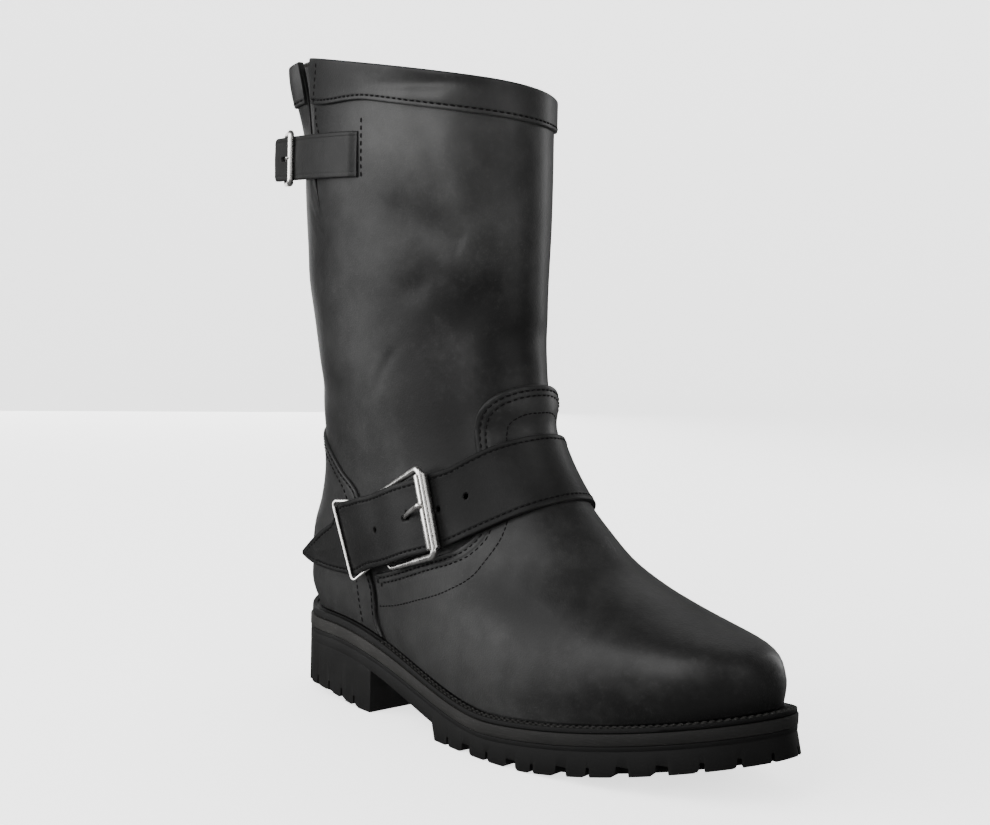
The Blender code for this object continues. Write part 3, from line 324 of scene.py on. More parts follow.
SLIT_ROW = ((0.634, 305.0), (0.654, 312.5), (0.656, 320.0), (0.651, 328.0), (0.640, 343.0))

# Instep strap: turn and level of the lower and of the upper edge, and lift, at each station from its
# inner end to the buckle, then from the keeper on
STRAP_FRONT = (
    (-0.66, 72.0, -0.60, 113.0, 2.6),
    (-0.54, 87.0, -0.46, 125.0, 2.6),
    (-0.40, 97.5, -0.34, 132.5, 2.6),
    (-0.27, 106.5, -0.23, 141.0, 2.7),
    (-0.18, 114.0, -0.16, 149.0, 2.8),
    (-0.09, 120.5, -0.08, 153.5, 2.8),
    (0.00, 123.0, 0.00, 156.0, 2.8),
    (0.09, 120.5, 0.08, 153.5, 2.8),
    (0.18, 114.0, 0.16, 149.0, 2.8),
    (0.27, 106.5, 0.23, 141.0, 3.2),
)
STRAP_TAIL = (
    (0.745, 66.6, 0.718, 101.0, 5.8),
    (0.80, 64.8, 0.772, 91.6, 6.0),
    (0.842, 66.6, 0.828, 80.8, 6.4),
    (0.868, 69.6, 0.866, 72.6, 6.8),
)
BUCKLE_TAB = (
    (0.713, 75.0, 0.663, 99.0, 2.3),
    (0.663, 80.5, 0.613, 104.0, 2.3),
    (0.618, 85.0, 0.568, 108.0, 2.3),
    (0.578, 88.0, 0.528, 112.0, 2.3),
)
STRAP_HOLES = ((0.244, 125.6), (0.327, 119.3), (0.553, 102.5))


# Settings that a user would change


def colour_choice(name, description, default):
    return FloatVectorProperty(name=name, description=description, default=default, subtype="COLOR",
                               size=3, min=0.0, max=1.0)


def share_choice(name, description, default):
    return FloatProperty(name=name, description=description, default=default, subtype="FACTOR",
                         min=0.0, max=1.0)


def length_choice(name, description, low, high, default):
    return FloatProperty(name=name, description=description, default=default, unit="LENGTH",
                         min=low, max=high)


def power_choice(name, description, default):
    return FloatProperty(name=name, description=description, default=default, unit="POWER",
                         min=0.0, max=1000.0)


def angle_choice(name, description, degrees):
    return FloatProperty(name=name, description=description, default=math.radians(degrees),
                         subtype="ANGLE")


class LeatherSettings(bpy.types.PropertyGroup):
    """Finish of the black leather."""

    # Pale is also the colour that the painted highlights reach, and dark the colour of the painted shade
    dark: colour_choice("Dark", "Colour of the deeper patches", (0.0024, 0.0024, 0.0024))
    pale: colour_choice("Pale", "Colour of the rubbed patches", (0.0165, 0.0165, 0.0162))
    lining: colour_choice("Lining", "Colour of the lining", (0.020, 0.018, 0.016))
    roughness: share_choice("Roughness", "Roughness of the leather", 0.52)
    grain: FloatProperty(name="Grain", description="Depth of the grain in millimetres",
                         min=0.0, max=1.0, default=0.10)


class StitchSettings(bpy.types.PropertyGroup):
    """Thread and its spacing."""

    pitch: length_choice("Pitch", "Length from stitch to stitch", 0.001, 0.01, 0.0036)
    length: length_choice("Length", "Length of a stitch", 0.001, 0.01, 0.0028)
    thread: length_choice("Thread", "Thickness of the thread", 0.0002, 0.002, 0.0009)
    colour: colour_choice("Colour", "Colour of the thread", (0.002, 0.002, 0.002))


class SoleSettings(bpy.types.PropertyGroup):
    """Colours of the sole's layers."""

    tread: colour_choice("Tread", "Colour of the outsole and heel", (0.0022, 0.0022, 0.0021))
    band: colour_choice("Band", "Colour of the midsole's band", (0.0085, 0.0082, 0.0076))
    welt: colour_choice("Welt", "Colour of the welt", (0.0020, 0.0020, 0.0019))


class MetalSettings(bpy.types.PropertyGroup):
    """Finish of the buckles."""

    colour: colour_choice("Nickel", "Colour of the plating", (0.76, 0.75, 0.73))
    roughness: share_choice("Roughness", "Roughness of the plating", 0.26)


class StageSettings(bpy.types.PropertyGroup):
    """Floor, light and camera."""

    floor: colour_choice("Floor", "Colour of the floor", (0.86, 0.86, 0.86))
    glow: FloatProperty(name="Glow", description="Strength of the floor's own light",
                        min=0.0, max=10.0, default=1.9)
    sky: FloatProperty(name="Sky", description="Strength of the even light all round",
                       min=0.0, max=10.0, default=0.16)
    key: power_choice("Key", "Power of the large light", 42.0)
    front: power_choice("Front", "Power of the softbox beside the camera", 18.0)
    fill: power_choice("Fill", "Power of the weak light on the toe side", 7.0)
    rim: power_choice("Rim", "Power of the strip behind the toe side", 5.0)
    back: power_choice("Back", "Power of the soft light on the inner side", 14.0)
    top: power_choice("Top", "Power of the light above", 4.0)
    turn: angle_choice("Turn", "Camera's angle round the boot", 47.41)
    rise: angle_choice("Rise", "Camera's angle above the floor", 4.88)
    roll: angle_choice("Roll", "Camera's tilt to one side", 1.53)
    distance: FloatProperty(name="Distance", description="Camera's distance from its target",
                            unit="LENGTH", default=0.86608)
    lens: FloatProperty(name="Lens", description="Focal length on a 36 mm sensor in millimetres",
                        default=60.21)


SETTINGS = {
    "boot_leather": LeatherSettings,
    "boot_stitch": StitchSettings,
    "boot_sole": SoleSettings,
    "boot_metal": MetalSettings,
    "boot_stage": StageSettings,
}


# Shape of the last


def ease(t):
    """Smooth step from 0 to 1."""
    t = np.clip(t, 0.0, 1.0)
    return t * t * (3.0 - 2.0 * t)


def curve_through(keys, rows, at):
    """Rows of numbers at many keys, on smooth curves through the rows given."""
    keys = np.asarray(keys, float)
    rows = np.asarray(rows, float)
    at = np.atleast_1d(np.asarray(at, float))
    span = np.diff(keys)[:, None]
    rise = np.diff(rows, axis=0) / span
    inner = (rise[:-1] * span[1:] + rise[1:] * span[:-1]) / (span[1:] + span[:-1])
    slope = np.vstack([rise[:1], inner, rise[-1:]])
    i = np.clip(np.searchsorted(keys, at, side="right") - 1, 0, len(keys) - 2)
    w = span[i]
    t = ((at - keys[i]) / w[:, 0])[:, None]
    return ((2 * t ** 3 - 3 * t ** 2 + 1) * rows[i] + (t ** 3 - 2 * t ** 2 + t) * w * slope[i]
            + (3 * t ** 2 - 2 * t ** 3) * rows[i + 1] + (t ** 3 - t ** 2) * w * slope[i + 1])


def run_along(points):
    """Length along a line at each of its points."""
    return np.concatenate([[0.0], np.cumsum(np.linalg.norm(np.diff(points, axis=0), axis=1))])


def plan_run(x, y):
    """Length along a plan curve at each of its points."""
    return np.concatenate([[0.0], np.cumsum(np.hypot(np.diff(x), np.diff(y)))])


def turn_gap(turn, other):
    """Turn from one place to another the short way round."""
    return np.mod(turn - other + 1.0, 2.0) - 1.0


def section(level):
    """Every column of the section table at a level."""
    return dict(zip(COLUMNS, curve_through(TABLE[:, 0], TABLE, level)[0]))


def half_plan(s, side, grow=0.0):
    """Plan curve of one side of a section, from the middle of the toe to the middle of the heel."""
    half = (s["outer"] if side < 0 else s["inner"]) + grow
    heel = s["heel"] + grow
    back = s["back"] - grow
    front = s["front"] + grow
    turn = np.linspace(math.pi / 2, 0.0, 240)
    x_fore = s["wide"] + (front - s["wide"]) * np.sin(turn) ** (2 / s["power"])
    y_fore = half * np.abs(np.cos(turn)) ** (2 / s["power"])
    share = np.linspace(1.0, 0.0, 240)[1:] ** 2
    run = s["wide"] - back
    x_rear = back + run * share
    spread = heel + (half - heel) * (0.5 * share + 0.5 * ease(share))
    spread = spread - s["waist"] * np.sin(math.pi * share) ** 2
    bend = np.clip(1.0 - (x_rear - back) / min(s["round"], run), 0.0, 1.0)
    y_rear = spread * (1.0 - bend ** 2.2) ** (1 / 2.2)
    x = np.concatenate([x_fore, x_rear])
    y = np.concatenate([y_fore, y_rear])
    swing = s["swing"] * np.clip((x - back) / (front - back), 0.0, 1.0) ** 2
    return x, side * y + swing


def plan_ring(s, shares, grow=0.0):
    """Closed plan loop: down the outer side from toe to heel, then up the inner side."""
    sides = []
    for side in (-1, 1):
        x, y = half_plan(s, side, grow)
        run = plan_run(x, y)
        run = run / run[-1]
        sides.append(np.stack([np.interp(shares, run, x), np.interp(shares, run, y)], axis=1))
    return np.concatenate([sides[0], sides[1][-2:0:-1]])


def feather(x):
    """Height of the line where the upper meets the sole."""
    down = SEAT_RISE + (BALL_RISE - SEAT_RISE) * ease((x - SEAT_X) / (BALL_X - SEAT_X))
    return down + SPRING_RISE * np.clip((x - SPRING_X) / SPRING_RUN, 0.0, 2.0) ** SPRING_POWER


def tread(x):
    """Height of the bottom of the sole: flat from the heel to the ball, rising to the toe."""
    return TREAD_RISE * np.clip((x - TREAD_X) / TREAD_RUN, 0.0, 2.0) ** TREAD_POWER


def heel_rim(x):
    """Height of the heel's lower rim, which is bevelled up toward the back."""
    return RIM_RISE * ease((RIM_START - x) / RIM_RUN)


def painted_light(turn, level):
    """Painted highlight, above 0, and painted shade, below 0, of the leather at each place."""
    total = np.zeros(np.shape(turn))
    for at_turn, at_level, turn_spread, level_spread, tone in PAINTED_LIGHT_PATCHES:
        away = turn_gap(turn, at_turn) / turn_spread
        total = total + tone * np.exp(-away ** 2 - ((level - at_level) / level_spread) ** 2)
    return np.clip(total, -1.0, 1.0)


def tongue_stand(turn, level):
    """How far the tongue of the vamp stands off the shaft."""
    fade = 1.0 - ease((np.abs(turn_gap(turn, 0.0)) - TONGUE_FLAT) / TONGUE_FADE)
    return TONGUE_STAND * ease((level - TONGUE_LEVEL) / TONGUE_RUN) * fade


def collar_dip(turns):
    """How far the collar's line dips at each turn."""
    dip = np.zeros(len(turns))
    for turn, spread, drop in COLLAR_DIPS:
        dip = dip + drop * np.exp(-(turn_gap(turns, turn) / spread) ** 2)
    return dip


class Last:
    """Outer face of the upper as a fine grid of points and normals, read at any place on it."""

    def __init__(self):
        self.levels = np.linspace(FOOT_LEVEL, COLLAR_LEVEL, LAST_LEVELS)
        self.half = LAST_HALF
        shares = np.linspace(0.0, 1.0, self.half + 1)
        turns = np.arange(2 * self.half) / self.half
        rings = []
        for level in self.levels:
            s = section(level)
            plan = plan_ring(s, shares)
            drop = s["follow"] * (feather(plan[:, 0]) - FOOT_LEVEL)
            lean = COLLAR_TILT * ease((level - TILT_LEVEL) / TILT_RUN) * (SHAFT_X - plan[:, 0])
            dip = collar_dip(turns) * ease((level - DIP_LEVEL) / (COLLAR_LEVEL - DIP_LEVEL))
            rings.append(np.column_stack([plan, level + drop + lean - dip]))
        self.points = np.array(rings)
        ear = EAR * np.exp(-((turns - EAR_TURN) / EAR_SPREAD) ** 2)
        rise = ease((self.levels - EAR_LEVEL) / (COLLAR_LEVEL - EAR_LEVEL))
        self.points = self.points + (rise[:, None] * ear[None, :])[..., None] * self.facing()
        self.normals = self.facing()

    def facing(self):
        """Outward normals of the grid."""
        along = np.roll(self.points, -1, axis=1) - np.roll(self.points, 1, axis=1)
        up = np.gradient(self.points, axis=0)
        out = np.cross(up, along)
        return out / np.linalg.norm(out, axis=2, keepdims=True)

    def read(self, grid, turn, level):
        """Values of a grid between its points."""
        turn, level = np.broadcast_arrays(np.asarray(turn, float), np.asarray(level, float))
        a = np.mod(turn, 2.0) * self.half
        b = (level - FOOT_LEVEL) / (COLLAR_LEVEL - FOOT_LEVEL) * (len(self.levels) - 1)
        b = np.clip(b, 0.0, len(self.levels) - 1.001)
        i, j = a.astype(int) % (2 * self.half), b.astype(int)
        k = (i + 1) % (2 * self.half)
        p, q = (a - np.floor(a))[..., None], (b - j)[..., None]
        low = grid[j, i] * (1 - p) + grid[j, k] * p
        high = grid[j + 1, i] * (1 - p) + grid[j + 1, k] * p
        return low * (1 - q) + high * q

    def at(self, turn, level, lift=0.0):
        """Points at a turn and level, lifted along the normal."""
        rise = np.asarray(lift, float)[..., None] * self.out(turn, level)
        return self.read(self.points, turn, level) + rise

    def out(self, turn, level):
        """Normals at a turn and level."""
        return self.read(self.normals, turn, level)

    def creased(self):
        """The same last with the leather's soft troughs and ridges."""
        made = Last()
        push = np.zeros(self.points.shape[:2])
        for from_turn, from_level, to_turn, to_level, sag, width, rise in CREASES:
            t = np.linspace(0.0, 1.0, 25)
            turn = from_turn + (to_turn - from_turn) * t
            level = from_level + (to_level - from_level) * t + sag * 4.0 * t * (1.0 - t)
            path = self.at(turn, level)
            near = np.full(push.shape, 1e9)
            where = np.zeros(push.shape)
            for spot, share in zip(path, t):
                gap = ((self.points - spot) ** 2).sum(axis=2)
                where = np.where(gap < near, share, where)
                near = np.minimum(near, gap)
            fade = 0.25 + 0.75 * (ease(where / 0.3) * ease((1.0 - where) / 0.3))
            hollow = np.exp(-near / width ** 2) - 0.35 * np.exp(-near / (2.2 * width) ** 2)
            push += rise * fade * hollow
        made.points = made.points + push[..., None] * made.normals
        made.normals = made.facing()
        return made


FORM = Last()
SKIN = FORM.creased()


# Finishes


class Sum:
    """One socket of a finish, for sums written with Python's operators."""

    def __init__(self, finish, socket):
        self.finish = finish
        self.socket = socket

    def sum(self, operation, *values):
        return self.finish.add("ShaderNodeMath", {"operation": operation}, dict(enumerate(values)))

    def __add__(self, other):
        return self.sum("ADD", self, other)

    def __radd__(self, other):
        return self.sum("ADD", other, self)

    def __sub__(self, other):
        return self.sum("SUBTRACT", self, other)

    def __rsub__(self, other):
        return self.sum("SUBTRACT", other, self)

    def __mul__(self, other):
        return self.sum("MULTIPLY", self, other)

    def __rmul__(self, other):
        return self.sum("MULTIPLY", other, self)

    def __abs__(self):
        return self.sum("ABSOLUTE", self)

    def step(self, low, high):
        """Smooth step from 0 at low to 1 at high."""
        return self.finish.add("ShaderNodeMapRange", {"interpolation_type": "SMOOTHSTEP"},
                               {"Value": self, "From Min": low, "From Max": high})


def toned(colour, by):
    """Colour made darker or paler."""
    return tuple(by * c for c in colour)


class Finish:
    """A material whose nodes are added one by one."""

    def __init__(self, name):
        self.material = bpy.data.materials.new(name)
        self.material.use_nodes = True
        self.tree = self.material.node_tree
        self.shader = self.tree.nodes["Principled BSDF"]

    def add(self, kind, settings, sockets, output=0):
        """A node with its settings and the values or links of its sockets; gives one of its outputs."""
        node = self.tree.nodes.new(kind)
        for key, value in settings.items():
            setattr(node, key, value)
        for key, value in sockets.items():
            self.feed(node.inputs[key], value)
        return Sum(self, node.outputs[output])

    def feed(self, socket, value):
        """Link a sum to a socket, or set its value."""
        if isinstance(value, Sum):
            self.tree.links.new(value.socket, socket)
        elif hasattr(value, "__len__") and len(value) == 3 and socket.type == "RGBA":
            socket.default_value = (*value, 1.0)
        else:
            socket.default_value = value

    def place(self):
        """Position on the object in metres."""
        return self.add("ShaderNodeTexCoord", {}, {}, "Object")

    def noise(self, scale, detail=2.0, rough=0.5):
        """Soft noise over the object."""
        return self.add("ShaderNodeTexNoise", {}, {"Vector": self.place(), "Scale": scale,
                                                   "Detail": detail, "Roughness": rough})

    def cells(self, scale):
        """Distance to the nearest of scattered points."""
        return self.add("ShaderNodeTexVoronoi", {}, {"Vector": self.place(), "Scale": scale})

    def mark(self, title):
        """A value painted on the mesh's points."""
        return self.add("ShaderNodeAttribute", {"attribute_name": title}, {}, "Fac")

    def blend(self, share, first, second):
        """Colour between two."""
        return self.add("ShaderNodeMix", {"data_type": "RGBA"}, {0: share, 6: first, 7: second}, 2)

    def bump(self, height, strength=1.0):
        """Normal from a height in millimetres."""
        return self.add("ShaderNodeBump", {}, {"Strength": strength, "Distance": MM, "Height": height})

    def done(self, **sockets):
        """Set the shader's sockets, underscores for spaces, and give the material."""
        for key, value in sockets.items():
            self.feed(self.shader.inputs[key.replace("_", " ")], value)
        return self.material


def leather_finish(name, rows=(), shade=1.0):
    """Oiled black leather; rows are the distances from a panel's edge to its stitch rows."""
    choice = bpy.context.scene.boot_leather
    f = Finish(name)
    # Mark of the painted highlight and painted shade on the leather, 0 where none is painted
    rub = f.mark("rub")
    cloud = f.noise(17.0, 3.0, 0.55).step(0.36, 0.68)
    mottle = f.noise(85.0, 4.0, 0.6)
    speck = f.noise(420.0, 2.0, 0.5)
    # Random paler and darker tone, plus the painted highlight and painted shade, blended between the
    # dark and pale colours
    share = (0.10 + cloud * 0.16 + mottle.step(0.35, 0.72) * 0.20 + speck.step(0.5, 0.8) * 0.18
             + rub * 0.45)
    dark = toned(choice.dark, shade)
    colour = f.blend(share, dark, toned(choice.pale, shade))
    pores = f.cells(1150.0)
    wrinkle = f.noise(260.0, 5.0, 0.62)
    height = choice.grain * pores + 0.16 * wrinkle + 0.05 * f.noise(1900.0, 2.0)
    rough = choice.roughness + 0.13 * mottle + 0.05 * speck
    wax = shade * (0.20 + 0.16 * rub + 0.05 * cloud + 0.08 * mottle)
    if rows:
        edge = f.mark("edge_mm")
        for row in rows:
            trench = 1.0 - abs(edge - row).step(0.15, 0.85)
            height = height - 0.18 * trench
            # Painted shade in the groove of each stitch row: the colour is darkened toward black there
            colour = f.blend(trench * 0.25, colour, (0.001, 0.001, 0.001))
            wax = wax * (1.0 - 0.5 * trench)
        rim = 1.0 - edge.step(0.2, 1.1)
        rough = rough + 0.18 * rim
        colour = f.blend(rim * 0.25, colour, dark)
    return f.done(Base_Color=colour, Roughness=rough, Normal=f.bump(height), Specular_IOR_Level=0.10,
                  Coat_Weight=wax, Coat_Roughness=0.38)


def lining_finish():
    choice = bpy.context.scene.boot_leather
    f = Finish("lining_leather")
    tone = f.noise(60.0, 4.0, 0.6).step(0.3, 0.75)
    dark = toned(choice.lining, 0.62)
    height = 0.12 * f.noise(700.0, 3.0, 0.6) + 0.05 * f.cells(1500.0)
    return f.done(Base_Color=f.blend(tone, dark, choice.lining), Roughness=0.72 + 0.1 * tone,
                  Normal=f.bump(height))


def thread_finish(name, colour):
    f = Finish(name)
    twist = f.noise(2600.0, 2.0)
    pale = toned(colour, 2.2)
    return f.done(Base_Color=f.blend(twist.step(0.4, 0.75), colour, pale), Roughness=0.5 + 0.2 * twist,
                  Normal=f.bump(0.08 * twist), Specular_IOR_Level=0.03)


def rubber_finish(name, colour, streak):
    """Moulded rubber, dusty in places and darkened toward the toe as painted shade; streak is how
    strongly it is worn along its length.
    """
    f = Finish(name)
    dust = f.noise(48.0, 5.0, 0.62)
    fine = f.noise(900.0, 3.0, 0.6)
    pale = tuple(min(1.0, 1.7 * c + 0.0008) for c in colour)
    share = dust.step(0.38, 0.72) * 0.7 + fine.step(0.5, 0.8) * 0.3
    # Painted shade toward the toe: there the colour is blended most of the way to a far darker one
    toe = f.add("ShaderNodeSeparateXYZ", {}, {"Vector": f.place()}, "X").step(0.02, 0.25)
    tone = f.blend(share, colour, pale)
    lines = f.add("ShaderNodeTexNoise", {}, {"Vector": f.add("ShaderNodeMapping", {}, {
        "Vector": f.place(), "Scale": (30.0, 30.0, 1500.0)}), "Scale": 1.0, "Detail": 2.0})
    height = 0.07 * fine + streak * lines
    return f.done(Base_Color=f.blend(toe * 0.85, tone, toned(colour, 0.2)),
                  Roughness=0.6 + 0.2 * dust, Normal=f.bump(height), Specular_IOR_Level=0.15)


def nickel_finish():
    choice = bpy.context.scene.boot_metal
    f = Finish("nickel")
    rub = f.noise(240.0, 4.0, 0.65)
    scratch = f.noise(1700.0, 2.0)
    colour = f.blend(rub.step(0.35, 0.7), toned(choice.colour, 0.78), choice.colour)
    rough = choice.roughness + 0.12 * rub.step(0.45, 0.75)
    return f.done(Base_Color=colour, Metallic=1.0, Roughness=rough, Normal=f.bump(0.012 * scratch))


def floor_finish():
    choice = bpy.context.scene.boot_stage
    f = Finish("floor_card")
    tone = f.noise(6.0, 2.0)
    dim = toned(choice.floor, 0.985)
    return f.done(Base_Color=f.blend(tone, dim, choice.floor), Roughness=0.8 + 0.1 * tone,
                  Emission_Color=choice.floor, Emission_Strength=choice.glow)


# Meshes


def quads(index, cyclic=False):
    """Faces of a grid of point numbers."""
    if cyclic:
        index = np.concatenate([index, index[:, :1]], axis=1)
    corners = [index[:-1, :-1], index[:-1, 1:], index[1:, 1:], index[1:, :-1]]
    return np.stack(corners, axis=-1).reshape(-1, 4)


def strip(first, second):
    """Faces between two lines of point numbers."""
    return quads(np.stack([first, second]))


def capped(index):
    """Faces of a tube of point numbers, with flat ends."""
    return [*quads(index, True), index[0][::-1], index[-1]]


def doubled(**marks):
    """Marks of an outer grid, given to its inner grid too."""
    return {title: np.concatenate([values.ravel(), values.ravel()]) for title, values in marks.items()}


def make_piece(name, points, faces, finishes, marks=None, inside=None, sharp=42.0, weld=0.0):
    """Object from millimetre points, faces turned outwards; inside flags faces of the second finish."""
    data = bpy.data.meshes.new(name)
    rings = [tuple(int(i) for i in face) for face in faces]
    data.from_pydata((np.asarray(points, float) * MM).tolist(), [], rings)
    for finish in finishes:
        data.materials.append(finish)
    if inside is not None:
        data.polygons.foreach_set("material_index", np.asarray(inside, np.int32))
    for title, values in (marks or {}).items():
        layer = data.attributes.new(title, "FLOAT", "POINT")
        layer.data.foreach_set("value", np.asarray(values, np.float32).ravel())
    bm = bmesh.new()
    bm.from_mesh(data)
    if weld:
        bmesh.ops.remove_doubles(bm, verts=bm.verts, dist=weld * MM)
    bmesh.ops.recalc_face_normals(bm, faces=bm.faces)
    bm.to_mesh(data)
    bm.free()
    data.shade_smooth()
    data.set_sharp_from_angle(angle=math.radians(sharp))
    piece = bpy.data.objects.new(name, data)
    bpy.context.scene.collection.objects.link(piece)
    return piece


def settle(piece, slot, *nodes):
    """The piece rides with the boot and stands for its solids, which are hidden; slot is not used."""
    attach(piece, "root")
    if nodes:
        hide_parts(*nodes)
    return piece


def bake(piece):
    """Replace a piece's mesh by what its modifiers make of it."""
    bpy.context.view_layer.update()
    seen = piece.evaluated_get(bpy.context.evaluated_depsgraph_get())
    made = bpy.data.meshes.new_from_object(seen)
    piece.modifiers.clear()
    piece.data = made


def cut(piece, *cutters):
    """Take cutters out of a piece, and remove them."""
    for cutter in cutters:
        step = piece.modifiers.new("cut", "BOOLEAN")
        step.object = cutter
        step.operation = "DIFFERENCE"
        step.solver = "EXACT"
    bake(piece)
    for cutter in cutters:
        bpy.data.objects.remove(cutter, do_unlink=True)


def shell(outer, inner, cyclic=False, open_rows=None):
    """Points, faces and inside flags of two grids joined at their edges; open_rows limits the sides."""
    rows, columns = outer.shape[:2]
    count = rows * columns
    index = np.arange(count).reshape(rows, columns)
    faces = [quads(index, cyclic), quads(index[::-1] + count, cyclic)]
    rims = []
    for row in (0, -1):
        line = np.append(index[row], index[row, 0]) if cyclic else index[row]
        rims.append(strip(line, line + count))
    if not cyclic:
        keep = slice(None) if open_rows is None else open_rows
        for column in (0, -1):
            line = index[keep, column]
            rims.append(strip(line, line + count))
    rim_count = sum(map(len, rims))
    inside = np.concatenate([np.zeros(len(faces[0])), np.ones(len(faces[1])), np.zeros(rim_count)])
    points = np.concatenate([outer.reshape(-1, 3), inner.reshape(-1, 3)])
    return points, np.concatenate(faces + rims), inside


def path_points(table, count, mirror):
    """Dense path of turns and levels through a table, carried over the middle if mirror is its turn."""
    rows = np.array(table, float)
    if mirror is not None:
        other = rows[-2::-1].copy()
        other[:, 0] = 2.0 * mirror - other[:, 0]
        rows = np.vstack([rows, other])
    run = run_along(FORM.at(*rows.T))
    return curve_through(run, rows, np.linspace(0.0, run[-1], count))


def scales(path):
    """Millimetres for a unit of turn and of level along a path."""
    turn, level = path.T
    here = FORM.at(turn, level)
    ahead = np.linalg.norm(FORM.at(turn + 0.004, level) - here, axis=1) / 0.004
    up = FORM.at(turn, level + np.where(level > COLLAR_LEVEL - 2.0, -1.0, 1.0))
    return np.column_stack([ahead, np.linalg.norm(up - here, axis=1)])


def inset(path, distance, side):
    """Path moved over the surface to one side of its direction."""
    size = scales(path)
    along = np.gradient(path, axis=0) * size
    along = along / np.linalg.norm(along, axis=1)[:, None]
    across = np.column_stack([-along[:, 1], along[:, 0]]) * side
    return path + distance * across / size


def distance_to(points, spots):
    """Distance of each point of a grid to the nearest spot of a line."""
    tree = KDTree(len(spots))
    for k, spot in enumerate(spots):
        tree.insert(spot, k)
    tree.balance()
    return np.array([tree.find(p)[2] for p in points.reshape(-1, 3)]).reshape(points.shape[:2])


EDGE_STEPS = (0.0, 0.2, 0.5, 0.9, 1.4, 2.2, 3.0, 3.8, 4.8, 6.2, 8.0)


def folded(edge_mm):
    """Lift of a panel's face near its round cut edge."""
    curl = np.clip(edge_mm / FOLD_ROUND, 0.0, 1.0)
    return PANEL * (0.32 + 0.68 * np.sqrt(1.0 - (1.0 - curl) ** 2))


def panel(name, edge, foot, rows, stitch_rows, stand=None, sewn=0.0):
    """Panel from an edge path down to a foot line, with a rounded cut edge, sewn above a level."""
    reach = np.maximum(np.linalg.norm((edge - foot) * scales(edge), axis=1), 1.0)
    near = np.array(EDGE_STEPS)
    far = np.linspace(0.0, 1.0, rows)[1:]
    shares = []
    for length in reach:
        close = near * min(1.0, 0.45 * length / near[-1])
        start = close[-1] / length
        shares.append(np.concatenate([close / length, start + (1.0 - start) * far]))
    share = np.array(shares).T[..., None]
    place = edge[None] * (1.0 - share) + foot[None] * share
    turn, level = place[..., 0], place[..., 1]
    edge_mm = distance_to(SKIN.at(turn, level), SKIN.at(*edge.T))
    lift = folded(edge_mm)
    pulled = ease((level - sewn) / 5.0)
    for row in stitch_rows:
        lift = lift - 0.18 * pulled * np.exp(-((edge_mm - row) / 0.7) ** 2)
    edge_mm = edge_mm + 20.0 * (1.0 - pulled)
    off = stand(turn, level) if stand else np.zeros(turn.shape)
    outer = SKIN.at(turn, level, lift + off)
    inner = SKIN.at(turn, level, PANEL_UNDER + off)
    points, faces, _ = shell(outer, inner)
    # Marks of the distance to the cut edge and of the painted highlight and painted shade
    marks = doubled(edge_mm=edge_mm, rub=painted_light(turn, level))
    return make_piece(name, points, faces, [leather_finish(name + "_leather", stitch_rows)], marks)


# Stitches


def thread_run(points, normals, pitch):
    """Centres, directions and normals of the stitches along a line."""
    run = run_along(points)
    count = max(2, int(run[-1] / pitch))
    at = (np.arange(count) + 0.5) * run[-1] / count

    def read(values, shift=0.0):
        return np.column_stack([np.interp(at + shift, run, values[:, k]) for k in range(3)])

    spots, out = read(points), read(normals)
    along = read(points, 0.4) - read(points, -0.4)
    along = along / np.linalg.norm(along, axis=1)[:, None]
    out = out - along * (out * along).sum(axis=1)[:, None]
    return spots, along, out / np.linalg.norm(out, axis=1)[:, None]


def stitch_piece(name, runs, finish, thread=None, length=None, pitch=None):
    """One mesh of all the stitches along some runs of points and normals."""
    choice = bpy.context.scene.boot_stitch
    thread = thread or choice.thread / MM
    length = length or choice.length / MM
    pitch = pitch or choice.pitch / MM
    parts = [thread_run(points, normals, pitch) for points, normals in runs]
    spots, along, out = (np.concatenate([p[k] for p in parts]) for k in range(3))
    chance = np.random.default_rng(11)
    tilt = chance.normal(0.0, 0.06, len(spots))[:, None]
    across = np.cross(out, along)
    along = along + tilt * across
    stretch = length * (1.0 + chance.normal(0.0, 0.05, len(spots)))
    reach = np.array([-0.5, -0.40, -0.18, 0.18, 0.40, 0.5])
    fat = np.array([0.45, 0.86, 1.0, 1.0, 0.86, 0.45]) * 0.5 * thread
    sink = np.array([-0.62, -0.18, 0.06, 0.06, -0.18, -0.62]) * thread
    angle = np.linspace(0.0, 2.0 * math.pi, 7)[:-1]
    ring = np.stack([np.cos(angle), np.sin(angle)], axis=1)
    points = (spots[:, None, None] + (stretch[:, None] * reach)[..., None, None] * along[:, None, None]
              + fat[None, :, None, None] * (ring[None, None, :, :1] * across[:, None, None]
                                            + ring[None, None, :, 1:] * out[:, None, None])
              + sink[None, :, None, None] * out[:, None, None])
    one = np.arange(36).reshape(6, 6)
    faces = [*quads(one, True), one[0], one[-1][::-1]]
    every = [tuple(i + 36 * k for i in f) for k in range(len(spots)) for f in faces]
    return make_piece(name, points.reshape(-1, 3), every, [finish], sharp=80.0)


def skin_run(path, lift, stand=None):
    """Points and normals along a path on the leather."""
    lifts = np.full(len(path), lift)
    if stand:
        lifts = lifts + stand(path[:, 0], path[:, 1])
    return SKIN.at(path[:, 0], path[:, 1], lifts), SKIN.out(path[:, 0], path[:, 1])


def black_thread():
    found = bpy.data.materials.get("black_thread")
    return found or thread_finish("black_thread", tuple(bpy.context.scene.boot_stitch.colour))


# Upper and its panels


def slit_edges(level):
    """Turns of the slit's front and back edge at some levels."""
    share = np.clip((np.asarray(level, float) - SLIT_FOOT) / (COLLAR_LEVEL - SLIT_FOOT), 0.0, 1.0)
    return SLIT_TURN + (SLIT_FRONT - SLIT_TURN) * share, SLIT_TURN + (SLIT_BACK - SLIT_TURN) * share


